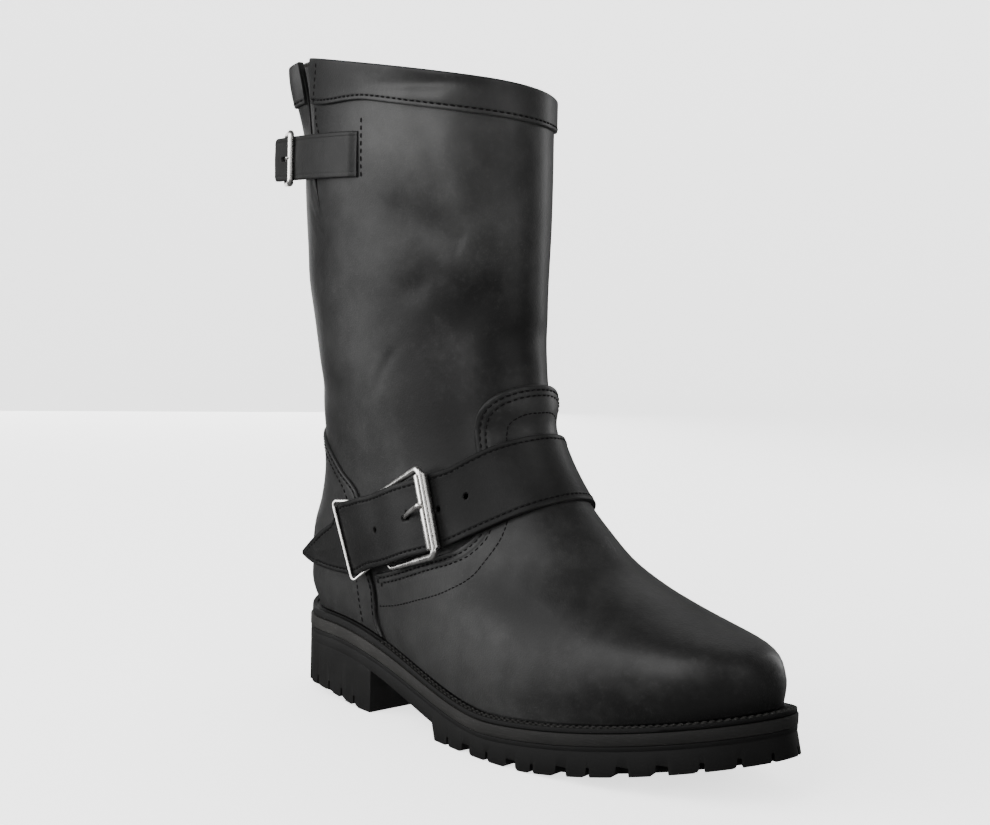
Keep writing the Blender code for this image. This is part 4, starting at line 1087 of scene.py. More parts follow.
class BOOT_OT_upper(bpy.types.Operator):
    """Hollow leather wall of the foot and the shaft, with soft creases, a lining and a slit"""

    bl_idname = "boot.upper"
    bl_label = "Upper"

    def execute(self, context):
        levels = np.concatenate([np.linspace(FOOT_LEVEL, SLIT_FOOT, 112)[:-1],
                                 np.linspace(SLIT_FOOT, COLLAR_LEVEL, 44)])
        front, back = slit_edges(levels)
        share = np.linspace(0.0, 1.0, 300)
        turn = front[:, None] + (back - 2.0 - front)[:, None] * share[None]
        level = np.repeat(levels[:, None], len(share), axis=1)
        points, faces, inside = shell(SKIN.at(turn, level), SKIN.at(turn, level, -WALL),
                                      open_rows=levels >= SLIT_FOOT - 0.01)
        finishes = [leather_finish("upper_leather"), lining_finish()]
        # Painted highlight and painted shade of the leather, as a mark on its points
        marks = doubled(rub=painted_light(turn, level))
        piece = make_piece("upper_skin", points, faces, finishes, marks, inside=inside, weld=0.002)
        settle(piece, "upper_leather", "upper", "quarter", "shaft")
        return {"FINISHED"}


class BOOT_OT_vamp(bpy.types.Operator):
    """Vamp with its tongue-shaped top, sewn down by double rows and an inner arc"""

    bl_idname = "boot.vamp"
    bl_label = "Vamp"

    def execute(self, context):
        edge = path_points(VAMP_EDGE, 320, 0.0)
        foot = np.column_stack([np.linspace(edge[0, 0] - 0.004, -edge[0, 0] + 0.004, len(edge)),
                                np.full(len(edge), PANEL_FOOT)])
        piece = panel("vamp_panel", edge, foot, 46, VAMP_ROWS, tongue_stand, 62.0)
        settle(piece, "panel_leather", "vamp")
        arc = [skin_run(path_points(VAMP_ARC, 300, 0.0), PANEL - LINE_SINK, tongue_stand)]
        settle(stitch_piece("vamp_arc_stitches", arc, black_thread(), *ARC_STITCH), "panel_leather")
        upper = edge[edge[:, 1] > 66.0]
        runs = [skin_run(inset(upper, row, 1.0), PANEL - ROW_SINK, tongue_stand) for row in VAMP_ROWS]
        settle(stitch_piece("vamp_stitches", runs, black_thread()), "panel_leather")
        return {"FINISHED"}


class BOOT_OT_counter(bpy.types.Operator):
    """Heel counter, sewn down by rows along its edge"""

    bl_idname = "boot.counter"
    bl_label = "Heel counter"

    def execute(self, context):
        edge = path_points(COUNTER_EDGE, 260, 1.0)
        foot = np.column_stack([np.linspace(edge[0, 0] + 0.012, 2.0 - edge[0, 0] - 0.012, len(edge)),
                                np.full(len(edge), PANEL_FOOT)])
        settle(panel("counter_panel", edge, foot, 36, (COUNTER_INSET,)), "panel_leather", "heel_counter")
        runs = [skin_run(inset(edge, COUNTER_INSET, -1.0)[8:-8], PANEL - ROW_SINK),
                skin_run(path_points(COUNTER_ROW, 260, 1.0), PANEL - LINE_SINK)]
        settle(stitch_piece("counter_stitches", runs, black_thread()), "panel_leather")
        return {"FINISHED"}


class BOOT_OT_collar(bpy.types.Operator):
    """Raised band round the collar, with its stitch rows"""

    bl_idname = "boot.collar"
    bl_label = "Collar band"

    def execute(self, context):
        steps = np.concatenate([(0.0, 0.2, 0.5, 0.9, 1.4, 2.0, 2.6, 3.2), np.linspace(4.0, 17.6, 18),
                                (18.2, 18.6, 18.9, 19.0)])
        share = np.linspace(0.0, 1.0, 420)
        front, back = slit_edges(BAND_LEVEL + steps)
        turn = front[:, None] + (back - 2.0 - front)[:, None] * share[None]
        low = self.low(turn)
        edge_mm = steps[:, None] * (COLLAR_LEVEL - low) / steps[-1]
        level = low + edge_mm
        top = np.clip((COLLAR_LEVEL - level) / 1.4, 0.0, 1.0)
        lift = folded(edge_mm) * (0.35 + 0.65 * np.sqrt(1.0 - (1.0 - top) ** 2))
        lift = lift - 0.22 * np.exp(-((edge_mm - BAND_ROW) / 0.7) ** 2)
        points, faces, _ = shell(SKIN.at(turn, level, lift), SKIN.at(turn, level, PANEL_UNDER))
        # Marks of the distance to the cut edge and of the painted highlight and painted shade
        marks = doubled(edge_mm=edge_mm, rub=painted_light(turn, level))
        finish = leather_finish("collar_leather", (BAND_ROW,))
        piece = make_piece("collar_panel", points, faces, [finish], marks)
        settle(piece, "panel_leather", "collar_band")
        around = np.linspace(front[6] - 0.008, back[6] - 2.0 + 0.008, 500)
        row = path_points(SLIT_ROW, 60, None)
        on_band = row[:, 1] > self.low(row[:, 0])
        runs = [skin_run(np.column_stack([around, self.low(around) + BAND_ROW]), PANEL - ROW_SINK),
                skin_run(row[on_band], PANEL - LINE_SINK), skin_run(row[~on_band], LINE_SINK)]
        settle(stitch_piece("collar_stitches", runs, black_thread()), "panel_leather")
        return {"FINISHED"}

    def low(self, turn):
        """Level of the band's lower edge, which drops beside the slit."""
        return BAND_LEVEL - BAND_DROP * (ease((turn - 0.42) / 0.22) + ease((-1.05 - turn) / 0.15))


class BOOT_OT_gusset(bpy.types.Operator):
    """Thin leather folded behind the slit"""

    bl_idname = "boot.gusset"
    bl_label = "Gusset"

    def execute(self, context):
        levels = np.linspace(262.0, 341.0, 50)
        front, back = slit_edges(levels)
        share = np.linspace(0.0, 1.0, 90)
        turn = (front - GUSSET_LAP)[:, None] + (back - front + 2.0 * GUSSET_LAP)[:, None] * share[None]
        level = np.repeat(levels[:, None], len(share), axis=1)
        rise = ease((level - SLIT_FOOT) / (COLLAR_LEVEL - SLIT_FOOT))
        seen = ease(np.minimum(turn - front[:, None], back[:, None] - turn) / 0.010)
        fold = np.exp(-((share - 0.30 - 0.30 * rise) / 0.035) ** 2) * rise
        lift = -WALL - 0.3 + (WALL + 0.1) * seen - 0.5 * GUSSET_FOLD * fold
        points, faces, _ = shell(FORM.at(turn, level, lift), FORM.at(turn, level, lift - GUSSET_THICK))
        piece = make_piece("gusset_fold", points, faces, [leather_finish("gusset_leather")])
        settle(piece, "upper_leather", "gusset")
        return {"FINISHED"}


# Straps


class Seat:
    """Place of a buckle: its pivot and its directions along, across and out of the strap."""

    def __init__(self, rear, fore, up):
        self.rear = np.asarray(rear, float)
        self.along = np.asarray(fore, float) - self.rear
        self.length = float(np.linalg.norm(self.along))
        self.along = self.along / self.length
        up = np.asarray(up, float)
        up = up - self.along * np.dot(up, self.along)
        self.across = up / np.linalg.norm(up)
        self.out = np.cross(self.along, self.across)

    def place(self, a, b, c=0.0):
        return self.rear + a * self.along + b * self.across + c * self.out


def seat_at(rear, fore, bars):
    """Seat between two places of the leather, upright along the mean of its bars."""
    up = sum(FORM.at(*high) - FORM.at(*low) for low, high in bars)
    return Seat(FORM.at(*rear), FORM.at(*fore), up)


def instep_seat():
    return seat_at(BUCKLE_REAR, BUCKLE_FORE, BUCKLE_BARS)


def keeper_seat():
    return seat_at(KEEPER_REAR, KEEPER_FORE, KEEPER_BARS)


def strap_station(low_turn, low_level, high_turn, high_level, lift):
    """Three points across a strap from its lower to its upper edge, and their normals."""
    share = np.array([0.0, 0.5, 1.0])
    turns = low_turn + (high_turn - low_turn) * share
    levels = low_level + (high_level - low_level) * share
    return FORM.at(turns, levels, lift), FORM.out(turns, levels)


def seat_station(seat, along, out):
    """Station that runs straight across a buckle, at a height out of the buckle's plane."""
    spots = np.array([seat.place(along, b, out) for b in (-STRAP_HALF, 0.0, STRAP_HALF)])
    return spots, np.tile(seat.out, (3, 1))


def through(marks, count):
    """Many stations on a smooth curve through a few."""
    rows = np.array([np.concatenate([spots.ravel(), normals.ravel()]) for spots, normals in marks])
    keys = run_along(rows[:, 3:6])
    made = curve_through(keys, rows, np.linspace(0.0, keys[-1], count))
    spots = made[:, :9].reshape(-1, 3, 3)
    normals = made[:, 9:].reshape(-1, 3, 3)
    return spots, normals / np.linalg.norm(normals, axis=2)[..., None]


def instep_stations(count):
    """Instep strap: over the instep, under the roller, over the hidden bars, out to the tail."""
    buckle = instep_seat()
    keeper = keeper_seat()
    marks = [strap_station(*row) for row in STRAP_FRONT]
    marks.append(seat_station(buckle, buckle.length, -(ROLLER_OUTER + GAP + STRAP_THICK)))
    marks.append(seat_station(buckle, 0.5 * buckle.length, STRAP_BOW))
    marks.append(seat_station(buckle, 0.0, WIRE + GAP))
    marks.append(seat_station(keeper, keeper.length, KEEPER_WIRE + GAP))
    marks.append(seat_station(keeper, 0.0, -(KEEPER_WIRE + GAP + STRAP_THICK)))
    marks += [strap_station(*row) for row in STRAP_TAIL]
    spots, normals = through(marks, count)
    past = np.dot(spots[:, 1] - buckle.rear, buckle.along) - buckle.length
    calm = ease((past - 8.0) / 14.0)[:, None, None]
    near = np.pad(spots, ((15, 15), (0, 0), (0, 0)), "edge")
    smooth = np.mean([near[k:k + count] for k in range(31)], axis=0)
    return spots + (smooth - spots) * calm, normals


def across_strap(spots, normals, share, height):
    """Points at shares from -1 to 1 across each station, at heights above the inner face."""
    share = np.asarray(share, float)
    low = 0.5 * share * (share - 1.0)
    mid = 1.0 - share * share
    high = 0.5 * share * (share + 1.0)
    weights = np.stack([low, mid, high], axis=-1)
    return weights @ spots + np.asarray(height, float)[..., None] * (weights @ normals)


def strap_profile(half, thick, stitch):
    """Closed outline across a strap: crowned face, round two-layer edges, flat back."""
    curl = min(0.75, 0.4 * half)
    face = [(-half + d, thick + h) for d, h in ((0.75, 0.0), (1.4, 0.06), (2.1, 0.04))]
    row = ((-0.4, -0.02), (0.0, -0.08), (0.4, -0.02), (1.0, 0.05))
    face += [(-half + stitch + d, thick + h) for d, h in row]
    middle = [(x * (half - stitch - 1.6), thick + 0.16 * (1 - x * x)) for x in np.linspace(-1.0, 0.0, 6)]
    left = face + middle
    if half <= stitch + 3.0:
        left = [(-half + curl, thick), (-0.5 * half, thick), (0.0, thick)]
    rim = [(-half + 0.10, 0.12 * thick), (-half, 0.26 * thick), (-half + 0.02, 0.42 * thick),
           (-half + 0.28, 0.50 * thick), (-half + 0.02, 0.58 * thick), (-half, 0.74 * thick),
           (-half + 0.14, 0.88 * thick), (-half + 0.42, 0.97 * thick)]
    upper = rim + left
    mirrored = [(-x, h) for x, h in upper[::-1]]
    if abs(upper[-1][0]) < 1e-6:
        mirrored = mirrored[1:]
    back = [(half - 0.5, 0.0), (0.4 * half, 0.0), (-0.4 * half, 0.0), (-half + 0.5, 0.0)]
    return np.array(upper + mirrored + back)


def strap_piece(name, spots, normals, thick, stitch, finish, painted_tones=None):
    """Strap lofted through stations, with one outline across each, narrowed where the strap narrows."""
    halves = 0.5 * np.linalg.norm(spots[:, 2] - spots[:, 0], axis=1)
    outline = strap_profile(halves.max(), thick, stitch)
    edge_gap = halves.max() - np.abs(outline[:, 0])
    rings = []
    for station, normal, half in zip(spots, normals, halves):
        squeeze = half / halves.max()
        x = outline[:, 0] * squeeze
        if squeeze > 0.4:
            x = np.sign(outline[:, 0]) * np.maximum(half - edge_gap, 0.0)
        rings.append(across_strap(station, normal, x / half, outline[:, 1]))
    columns = len(outline)
    index = np.arange(len(rings) * columns).reshape(len(rings), columns)
    # Painted highlight and painted shade along the strap, one value per station
    rub = np.zeros(len(rings)) if painted_tones is None else painted_tones
    marks = {"edge_mm": np.tile(edge_gap, len(rings)), "rub": np.repeat(rub, columns)}
    return make_piece(name, np.concatenate(rings), capped(index), [finish], marks, sharp=60.0)


def strap_runs(spots, normals, thick, stitch):
    """Stitch lines along both edges of a strap."""
    halves = 0.5 * np.linalg.norm(spots[:, 2] - spots[:, 0], axis=1)
    runs = []
    for side in (-1.0, 1.0):
        share = side * np.maximum(1.0 - stitch / halves, 0.05)
        rows = zip(spots, normals, share)
        line = np.array([across_strap(spot, out, [k], [thick - 0.1])[0] for spot, out, k in rows])
        runs.append((line, normals[:, 1]))
    return runs


def pin(name, centre, axis, radius, reach, length=0.0, along=None):
    """Round or long cutter through a strap."""
    axis = np.asarray(axis, float) / np.linalg.norm(axis)
    side = np.asarray(along, float) if along is not None else np.cross(axis, (0.0, 0.0, 1.0))
    side = side - axis * np.dot(side, axis)
    side = side / np.linalg.norm(side)
    other = np.cross(axis, side)
    angle = np.linspace(0.0, 2.0 * math.pi, 25)[:-1]
    ring = [centre + side * (radius * math.cos(a) + 0.5 * length * np.sign(math.cos(a) + 1e-9))
            + other * radius * math.sin(a) for a in angle]
    points = np.array([p + axis * h for h in (-reach, reach) for p in ring])
    index = np.arange(48).reshape(2, 24)
    return make_piece(name, points, capped(index), [])


class BOOT_OT_instep_strap(bpy.types.Operator):
    """Long instep strap with stitched edges, punched holes and a pointed tail, and the buckle's tab"""

    bl_idname = "boot.instep_strap"
    bl_label = "Instep strap"

    def execute(self, context):
        spots, normals = instep_stations(300)
        finish = leather_finish("strap_leather", (STRAP_ROW,), STRAP_SHADE)
        seat = instep_seat()
        past = np.dot(spots[:, 1] - seat.rear, seat.along) - seat.length
        # Painted highlight about 60 mm past the buckle and painted shade about 18 mm past it
        painted_tones = 1.6 * np.exp(-((past - 60.0) / 22.0) ** 2) - 0.9 * np.exp(-((past - 18.0) / 18.0) ** 2)
        strap = strap_piece("instep_strap_leather", spots, normals, STRAP_THICK, STRAP_ROW, finish,
                            painted_tones)
        cutters = []
        for k, (turn, level) in enumerate(STRAP_HOLES):
            target = FORM.at(turn, level, 5.0)
            near = int(np.argmin(np.linalg.norm(spots[:, 1] - target, axis=1)))
            cutters.append(pin(f"strap_hole_{k}", spots[near, 1], normals[near, 1], HOLE, 6.0))
        slot = seat.place(0.62 * seat.length, 0.8)
        cutters.append(pin("prong_hole", slot, seat.out, PRONG_HOLE, 9.0, 3.0, seat.along))
        cut(strap, *cutters)
        settle(strap, "strap_leather", "instep_strap")
        runs = strap_runs(spots, normals, STRAP_THICK, STRAP_ROW)
        sewn = stitch_piece("instep_strap_stitches", runs, black_thread(), *STRAP_STITCH)
        settle(sewn, "strap_leather")
        tab_spots, tab_normals = through([strap_station(*row) for row in BUCKLE_TAB], 40)
        tab = strap_piece("buckle_tab_leather", tab_spots, tab_normals, BUCKLE_TAB_THICK, 2.4, finish)
        settle(tab, "strap_leather", "buckle_tab")
        return {"FINISHED"}


def top_line():
    """Middle of the collar strap's inner face, with normals: on the shaft, then straight off it."""
    spots = FORM.at(np.linspace(TOP_START, TOP_LEAVE, 7), TOP_LEVEL, 0.4)
    flat = spots[-1] - spots[-2]
    flat[2] = 0.0
    flat = flat / np.linalg.norm(flat)
    inward = np.array([-flat[1], flat[0], 0.0])
    stops = (9.0, 18.0, 27.0, TOP_BAR, 0.5 * (TOP_BAR + TOP_PIVOT), TOP_PIVOT, TOP_FREE)
    free = [spots[-1] + flat * d - inward * TOP_CURL * d * d for d in stops]
    line = np.vstack([spots, free])
    line[:, 2] = spots[0, 2]
    normals = line_normals(line)
    return line, normals if normals[0, 1] < 0 else -normals


def line_normals(line):
    """Level normals of a line."""
    along = np.gradient(line, axis=0)
    out = np.column_stack([along[:, 1], -along[:, 0], np.zeros(len(line))])
    return out / np.linalg.norm(out, axis=1)[:, None]


def upright_stations(line, normals, half, count):
    """Stations of an upright strap along a level line."""
    marks = []
    for spot, normal in zip(line, normals):
        spots = np.array([spot + np.array([0.0, 0.0, h]) for h in (-half, 0.0, half)])
        marks.append((spots, np.tile(normal, (3, 1))))
    return through(marks, count)


def top_seat():
    line, normals = top_line()
    fore = line[-4] + normals[-4] * (TOP_THICK + GAP + TOP_WIRE)
    rear = line[-2] - normals[-2] * (GAP + TOP_WIRE)
    return Seat(rear, fore, (0.0, 0.0, 1.0))


class BOOT_OT_collar_strap(bpy.types.Operator):
    """Short strap over the slit with a square tip, sewn to the shaft, and its buckle's tab"""

    bl_idname = "boot.collar_strap"
    bl_label = "Collar strap"

    def execute(self, context):
        line, normals = top_line()
        spots, outs = upright_stations(line, normals, TOP_HALF, 150)
        tip = np.clip((np.arange(150) - 145) / 4.0, 0.0, 1.0)
        narrow = 1.0 - 0.14 * tip ** 2
        spots = spots[:, 1:2] + (spots - spots[:, 1:2]) * narrow[:, None, None]
        sunk = (TOP_THICK - 0.5) * (1.0 - ease(np.arange(150) / 10.0))
        spots = spots - sunk[:, None, None] * outs
        finish = leather_finish("collar_strap_leather", (40.0,), TOP_SHADE)
        strap = strap_piece("collar_strap_leather", spots, outs, TOP_THICK, 2.6, finish)
        seat = top_seat()
        slot = seat.place(0.42 * seat.length, 0.0)
        cut(strap, pin("top_prong_hole", slot, seat.out, TOP_HOLE, 7.0, 9.0, seat.along))
        settle(strap, "strap_leather", "top_strap")
        sewn = np.column_stack([np.full(40, 0.4525), np.linspace(285.8, 317.6, 40)])
        runs = [skin_run(sewn, LINE_SINK)]
        settle(stitch_piece("collar_strap_stitches", runs, black_thread()), "strap_leather")
        base = FORM.at(np.linspace(0.92, 0.80, 4), TOP_LEVEL, 0.4)
        base[:, 2] = line[0, 2]
        end = seat.rear - normals[-2] * 3.2
        tab_line = np.vstack([base, 0.5 * (base[-1] + end), end])
        tab_normals = -line_normals(tab_line)
        if tab_normals[0, 0] > 0:
            tab_normals = -tab_normals
        tab_spots, tab_outs = upright_stations(tab_line, tab_normals, TOP_TAB_HALF, 50)
        tab = strap_piece("collar_tab_leather", tab_spots, tab_outs, TOP_TAB_THICK, 2.2, finish)
        settle(tab, "strap_leather", "top_buckle_tab")
        return {"FINISHED"}


# Buckles


def tube(name, line, radii, finish, cyclic, sides=16):
    """Round wire along a line of points, capped with round ends when it is open."""
    line = np.asarray(line, float)
    radii = np.broadcast_to(np.asarray(radii, float), (len(line),))
    if cyclic:
        along = np.roll(line, -1, axis=0) - np.roll(line, 1, axis=0)
    else:
        along = np.gradient(line, axis=0)
    along = along / np.linalg.norm(along, axis=1)[:, None]
    plane = np.linalg.svd(line - line.mean(axis=0))[2][2]
    side = np.cross(along, plane)
    side = side / np.linalg.norm(side, axis=1)[:, None]
    other = np.cross(along, side)
    stations = [(p, r, k) for k, (p, r) in enumerate(zip(line, radii))]
    if not cyclic:
        caps = np.radians((75.0, 50.0, 25.0))
        head = [(line[0] - along[0] * radii[0] * math.sin(c), radii[0] * math.cos(c), 0) for c in caps]
        tail = [(line[-1] + along[-1] * radii[-1] * math.sin(c), radii[-1] * math.cos(c), -1)
                for c in caps[::-1]]
        stations = head + stations + tail
    angle = np.linspace(0.0, 2.0 * math.pi, sides + 1)[:-1]
    round_off = np.cos(angle)[:, None], np.sin(angle)[:, None]
    rings = [p + r * (round_off[0] * side[k] + round_off[1] * other[k]) for p, r, k in stations]
    index = np.arange(len(rings) * sides).reshape(len(rings), sides)
    faces = quads(np.concatenate([index, index[:1]]), True) if cyclic else capped(index)
    return make_piece(name, np.concatenate(rings), faces, [finish], sharp=70.0)


def loop_line(seat, length, height, radius, foot=None):
    """Closed frame with rounded corners in a buckle's own plane, from a far bar to one at the pivot."""
    high, low = (height, height) if foot is None else foot
    corners = []
    for corner, (a, b) in enumerate(((length, height), (0.0, high), (0.0, -low), (length, -height))):
        ca = a - radius if a > 0 else a + radius
        cb = b - radius if b > 0 else b + radius
        for k in range(CORNER_STEPS):
            angle = math.radians(90.0 * (corner + k / (CORNER_STEPS - 1)))
            corners.append(seat.place(ca + radius * math.cos(angle), cb + radius * math.sin(angle)))
    return corners


def roller_piece(seat, length, finish):
    """Sheet metal rolled round the bar, with an open seam on its outer side."""
    angles = np.radians(ROLLER_FACING + np.linspace(ROLLER_SEAM, 360.0 - ROLLER_SEAM, 41))
    rim = [(ROLLER_OUTER * math.cos(a), ROLLER_OUTER * math.sin(a)) for a in angles]
    rim += [(ROLLER_INNER * math.cos(a), ROLLER_INNER * math.sin(a)) for a in angles[::-1]]
    ends = ((-0.5, 0.90), (-0.49, 0.98), (-0.48, 1.0), (0.48, 1.0), (0.49, 0.98), (0.5, 0.90))
    rings = []
    for share, size in ends:
        ring = []
        for u, v in rim:
            far = math.hypot(u, v)
            keep = 1.0 + (size - 1.0) * (1.0 if far > 0.5 * (ROLLER_OUTER + ROLLER_INNER) else 0.0)
            ring.append(seat.place(seat.length + v * keep, share * length, u * keep))
        rings.append(ring)
    columns = len(rim)
    index = np.arange(len(rings) * columns).reshape(len(rings), columns)
    faces = list(quads(index, True))
    half = columns // 2
    for row, order in ((index[0], 1), (index[-1], -1)):
        for k in range(half - 1):
            face = (row[k], row[k + 1], row[columns - 2 - k], row[columns - 1 - k])
            faces.append(face[::order])
    return make_piece("instep_buckle_roller", np.concatenate(rings), faces, [finish], sharp=40.0)


def bent_line(marks, count):
    """Smooth line through a few points."""
    marks = np.array(marks, float)
    run = run_along(marks)
    return curve_through(run, marks, np.linspace(0.0, run[-1], count))


class BOOT_OT_buckles(bpy.types.Operator):
    """Roller buckle and keeper of the instep strap, and the small buckle at the collar"""

    bl_idname = "boot.buckles"
    bl_label = "Buckles"

    def execute(self, context):
        nickel = nickel_finish()
        seat = instep_seat()
        bars = np.repeat(FRAME_BARS, CORNER_STEPS) * WIRE
        line = loop_line(seat, seat.length, FRAME_HALF, FRAME_CORNER, FRAME_FOOT)
        frame_piece = tube("instep_buckle_frame", line, bars, nickel, True)
        settle(frame_piece, "nickel", "buckle_frame")
        settle(roller_piece(seat, ROLLER_LENGTH, nickel), "nickel", "buckle_roller")
        line = bent_line([seat.place(WIRE + PRONG + 0.4, 0.0, -0.7),
                          seat.place(0.48 * seat.length, 0.3, -0.6),
                          seat.place(0.66 * seat.length, 1.3, 3.0),
                          seat.place(seat.length + 0.6, 3.4, ROLLER_OUTER + PRONG + 0.3)], 30)
        prong = tube("instep_buckle_prong", line, np.linspace(0.6, 1.3, 30) * PRONG, nickel, False)
        settle(prong, "nickel", "buckle_prong")
        keeper = keeper_seat()
        line = loop_line(keeper, keeper.length, KEEPER_HALF, KEEPER_CORNER, KEEPER_FOOT)
        loop = tube("strap_keeper_loop", line, KEEPER_WIRE, nickel, True, 12)
        settle(loop, "nickel", "keeper_loop")
        top = top_seat()
        bars = np.repeat(TOP_BARS, CORNER_STEPS) * TOP_WIRE
        line = loop_line(top, top.length, TOP_FRAME_HALF, TOP_CORNER)
        small = tube("collar_buckle_frame", line, bars, nickel, True)
        settle(small, "nickel", "top_buckle_frame")
        side = 1.0 if np.dot(top.out, top_line()[1][-3]) > 0 else -1.0
        line = bent_line([top.place(TOP_WIRE + TOP_PRONG + 0.4, 0.0, 0.0),
                          top.place(0.6 * top.length, 0.0, side * 0.9),
                          top.place(top.length + 0.8, 0.0, side * (TOP_WIRE + TOP_PRONG + 0.3))], 20)
        prong = tube("collar_buckle_prong", line, np.linspace(1.2, 0.9, 20) * TOP_PRONG, nickel, False)
        settle(prong, "nickel", "top_buckle_prong")
        return {"FINISHED"}


# Sole


SOLE_SHARES = np.linspace(0.0, 1.0, 110)


def sole_plan(reach=1.0):
    """Outline of the sole: the foot of the upper, reaching further at the toe and the heel."""
    s = section(FOOT_LEVEL)
    s["front"] += reach * SOLE_FRONT
    s["back"] -= reach * SOLE_BACK
    return s


def sole_ring(grow, height, flare=0.0, reach=1.0):
    """Ring of the sole's outline at a height function of x."""
    s = sole_plan(reach)
    plan = plan_ring(s, SOLE_SHARES, grow)
    if flare:
        wide = plan_ring(s, SOLE_SHARES, grow + flare)
        plan = plan + (wide - plan) * ease((plan[:, :1] - FLARE_X) / FLARE_RUN)
    return np.column_stack([plan, height(plan[:, 0])])


def below(drop, more=0.0, lip=0.0):
    """Height a drop under the feather line, more toward the heel, less at its back for a lip."""
    return lambda x: (feather(x) - drop - more * ease((MORE_X - x) / MORE_RUN)
                      + lip * ease((LIP_X - x) / LIP_RUN))


WELT_TOP = GAP
MIDSOLE_TOP = 2 * GAP + WELT_THICK
OUTSOLE_TOP = MIDSOLE_TOP + MIDSOLE_THICK + GAP


def cap_faces(columns, start):
    """Strip of faces across a ring whose first half is one side and second half the other."""
    half = columns // 2
    faces = [(start, start + 1, start + columns - 1)]
    for j in range(1, half - 1):
        faces.append((start + j, start + j + 1, start + columns - j - 1, start + columns - j))
    faces.append((start + half - 1, start + half, start + half + 1))
    return faces


def ring_piece(name, rings, finish, closed=False, sharp=42.0):
    """Solid lofted through rings, capped at both ends, or closed on itself."""
    columns = len(rings[0])
    index = np.arange(len(rings) * columns).reshape(len(rings), columns)
    if closed:
        faces = quads(np.concatenate([index, index[:1]]), True)
    else:
        last = (len(rings) - 1) * columns
        faces = [*quads(index, True), *cap_faces(columns, 0), *cap_faces(columns, last)]
    return make_piece(name, np.concatenate(rings), faces, [finish], sharp=sharp)


BOX_FACES = ((0, 1, 2, 3), (7, 6, 5, 4), (0, 4, 5, 1), (1, 5, 6, 2), (2, 6, 7, 3), (3, 7, 4, 0))


def box_corners(centre, along, half_along, half_across, low, high):
    """Corners of an upright box turned to a direction in plan."""
    across = np.array([-along[1], along[0]])
    corners = []
    for z in (low, high):
        for a, b in ((-1, -1), (1, -1), (1, 1), (-1, 1)):
            spot = centre + a * half_along * along + b * half_across * across
            corners.append((spot[0], spot[1], z))
    return corners


def prism_faces(count):
    """Faces of a prism between two outlines."""
    faces = [tuple(range(count)), tuple(range(2 * count - 1, count - 1, -1))]
    return faces + [(j, (j + 1) % count, count + (j + 1) % count, count + j) for j in range(count)]


def side_prism(name, outline):
    """Prism across the boot of an outline drawn in the side view."""
    points = [(x, y, z) for y in (-90.0, 90.0) for x, z in outline]
    return make_piece(name, points, prism_faces(len(outline)), [])


def edge_walk(side, at):
    """Place, direction along and direction inwards at a length along one side of the outsole."""
    x, y = half_plan(sole_plan(), side, OUTSOLE_GROW)
    run = plan_run(x, y)
    at = run[-1] + at if at < 0 else at
    spot = np.array([np.interp(at, run, x), np.interp(at, run, y)])
    ahead = np.array([np.interp(at + 1, run, x), np.interp(at + 1, run, y)])
    along = (ahead - spot) / np.linalg.norm(ahead - spot)
    return spot, along, np.array([-along[1], along[0]]) * (-side)


def gap_prism(spot, along, inward, width, low, depth, out, deep, soft):
    """Points and faces of one gap of the tread, flared below so that the lugs beside it are round."""
    half = 0.5 * width
    arc = [(half + soft - soft * math.cos(a), low + soft - soft * math.sin(a))
           for a in np.linspace(0.0, 0.5 * math.pi, 5)]
    right = [(half - 0.4, low + depth), (half, low + depth - 0.5), *arc, (half + soft, low - SLOT_BELOW)]
    outline = right + [(-a, z) for a, z in right[::-1]]
    points = []
    for reach in (-out, deep):
        for a, z in outline:
            place = spot + along * a + inward * reach
            points.append((place[0], place[1], z))
    return points, prism_faces(len(outline))


def gaps_piece(name, gaps):
    """One cutter of gaps that don't touch."""
    points = []
    faces = []
    for gap_points, gap_faces in gaps:
        faces += [tuple(len(points) + k for k in face) for face in gap_faces]
        points += gap_points
    return make_piece(name, points, faces, [])


def rim_gaps():
    """Gaps across the edge of the forefoot tread."""
    gaps = []
    for side in (-1, 1):
        for at, width in LUG_GAPS:
            spot, along, inward = edge_walk(side, at if side < 0 else at * INNER_SHARE)
            soft = min(LUG_ROUND, 0.9 + 0.4 * width)
            low = float(tread(spot[0]))
            gaps.append(gap_prism(spot, along, inward, width, low, LUG_DEPTH, GAP_OUT, RIM_LUG, soft))
    return gaps


def centre_boxes():
    """Gaps across the middle of the forefoot tread."""
    boxes = []
    for x in CENTRE_SLOTS:
        sides = []
        for side in (-1, 1):
            px, py = half_plan(sole_plan(), side, OUTSOLE_GROW - RIM_LUG - 0.5 * RING_SLOT)
            sides.append(np.interp(x, px[::-1], py[::-1]))
        low = float(tread(x))
        centre = np.array([x, 0.5 * (sides[0] + sides[1])])
        corners = box_corners(centre, np.array([1.0, 0.0]), 0.5 * CENTRE_SLOT,
                              0.5 * (sides[1] - sides[0]), low - SLOT_BELOW, low + LUG_DEPTH)
        boxes.append((corners, BOX_FACES))
    return boxes


def ring_groove():
    """Groove that parts the rim lugs from the middle of the forefoot."""
    s = sole_plan()
    plans = []
    for grow, start in ((OUTSOLE_GROW - RIM_LUG, 20.0), (OUTSOLE_GROW - RIM_LUG - RING_SLOT, 24.0)):
        plan = plan_ring(s, np.linspace(0.0, 1.0, 40), grow)
        plan[:, 0] = np.maximum(plan[:, 0], FOREFOOT_X + start)
        plans.append(plan)
    steps = ((0, LUG_DEPTH), (0, -SLOT_BELOW), (1, -SLOT_BELOW), (1, LUG_DEPTH))
    rings = [np.column_stack([plans[k], tread(plans[k][:, 0]) + rise]) for k, rise in steps]
    return ring_piece("ring_groove", rings, None, True)


def soften(piece, width):
    """Round the hard edges of a moulded piece."""
    step = piece.modifiers.new("soft_edges", "BEVEL")
    step.width = width * MM
    step.segments = 2
    step.limit_method = "ANGLE"
    step.angle_limit = math.radians(38.0)
    bake(piece)
    piece.data.shade_smooth()
    piece.data.set_sharp_from_angle(angle=math.radians(50.0))


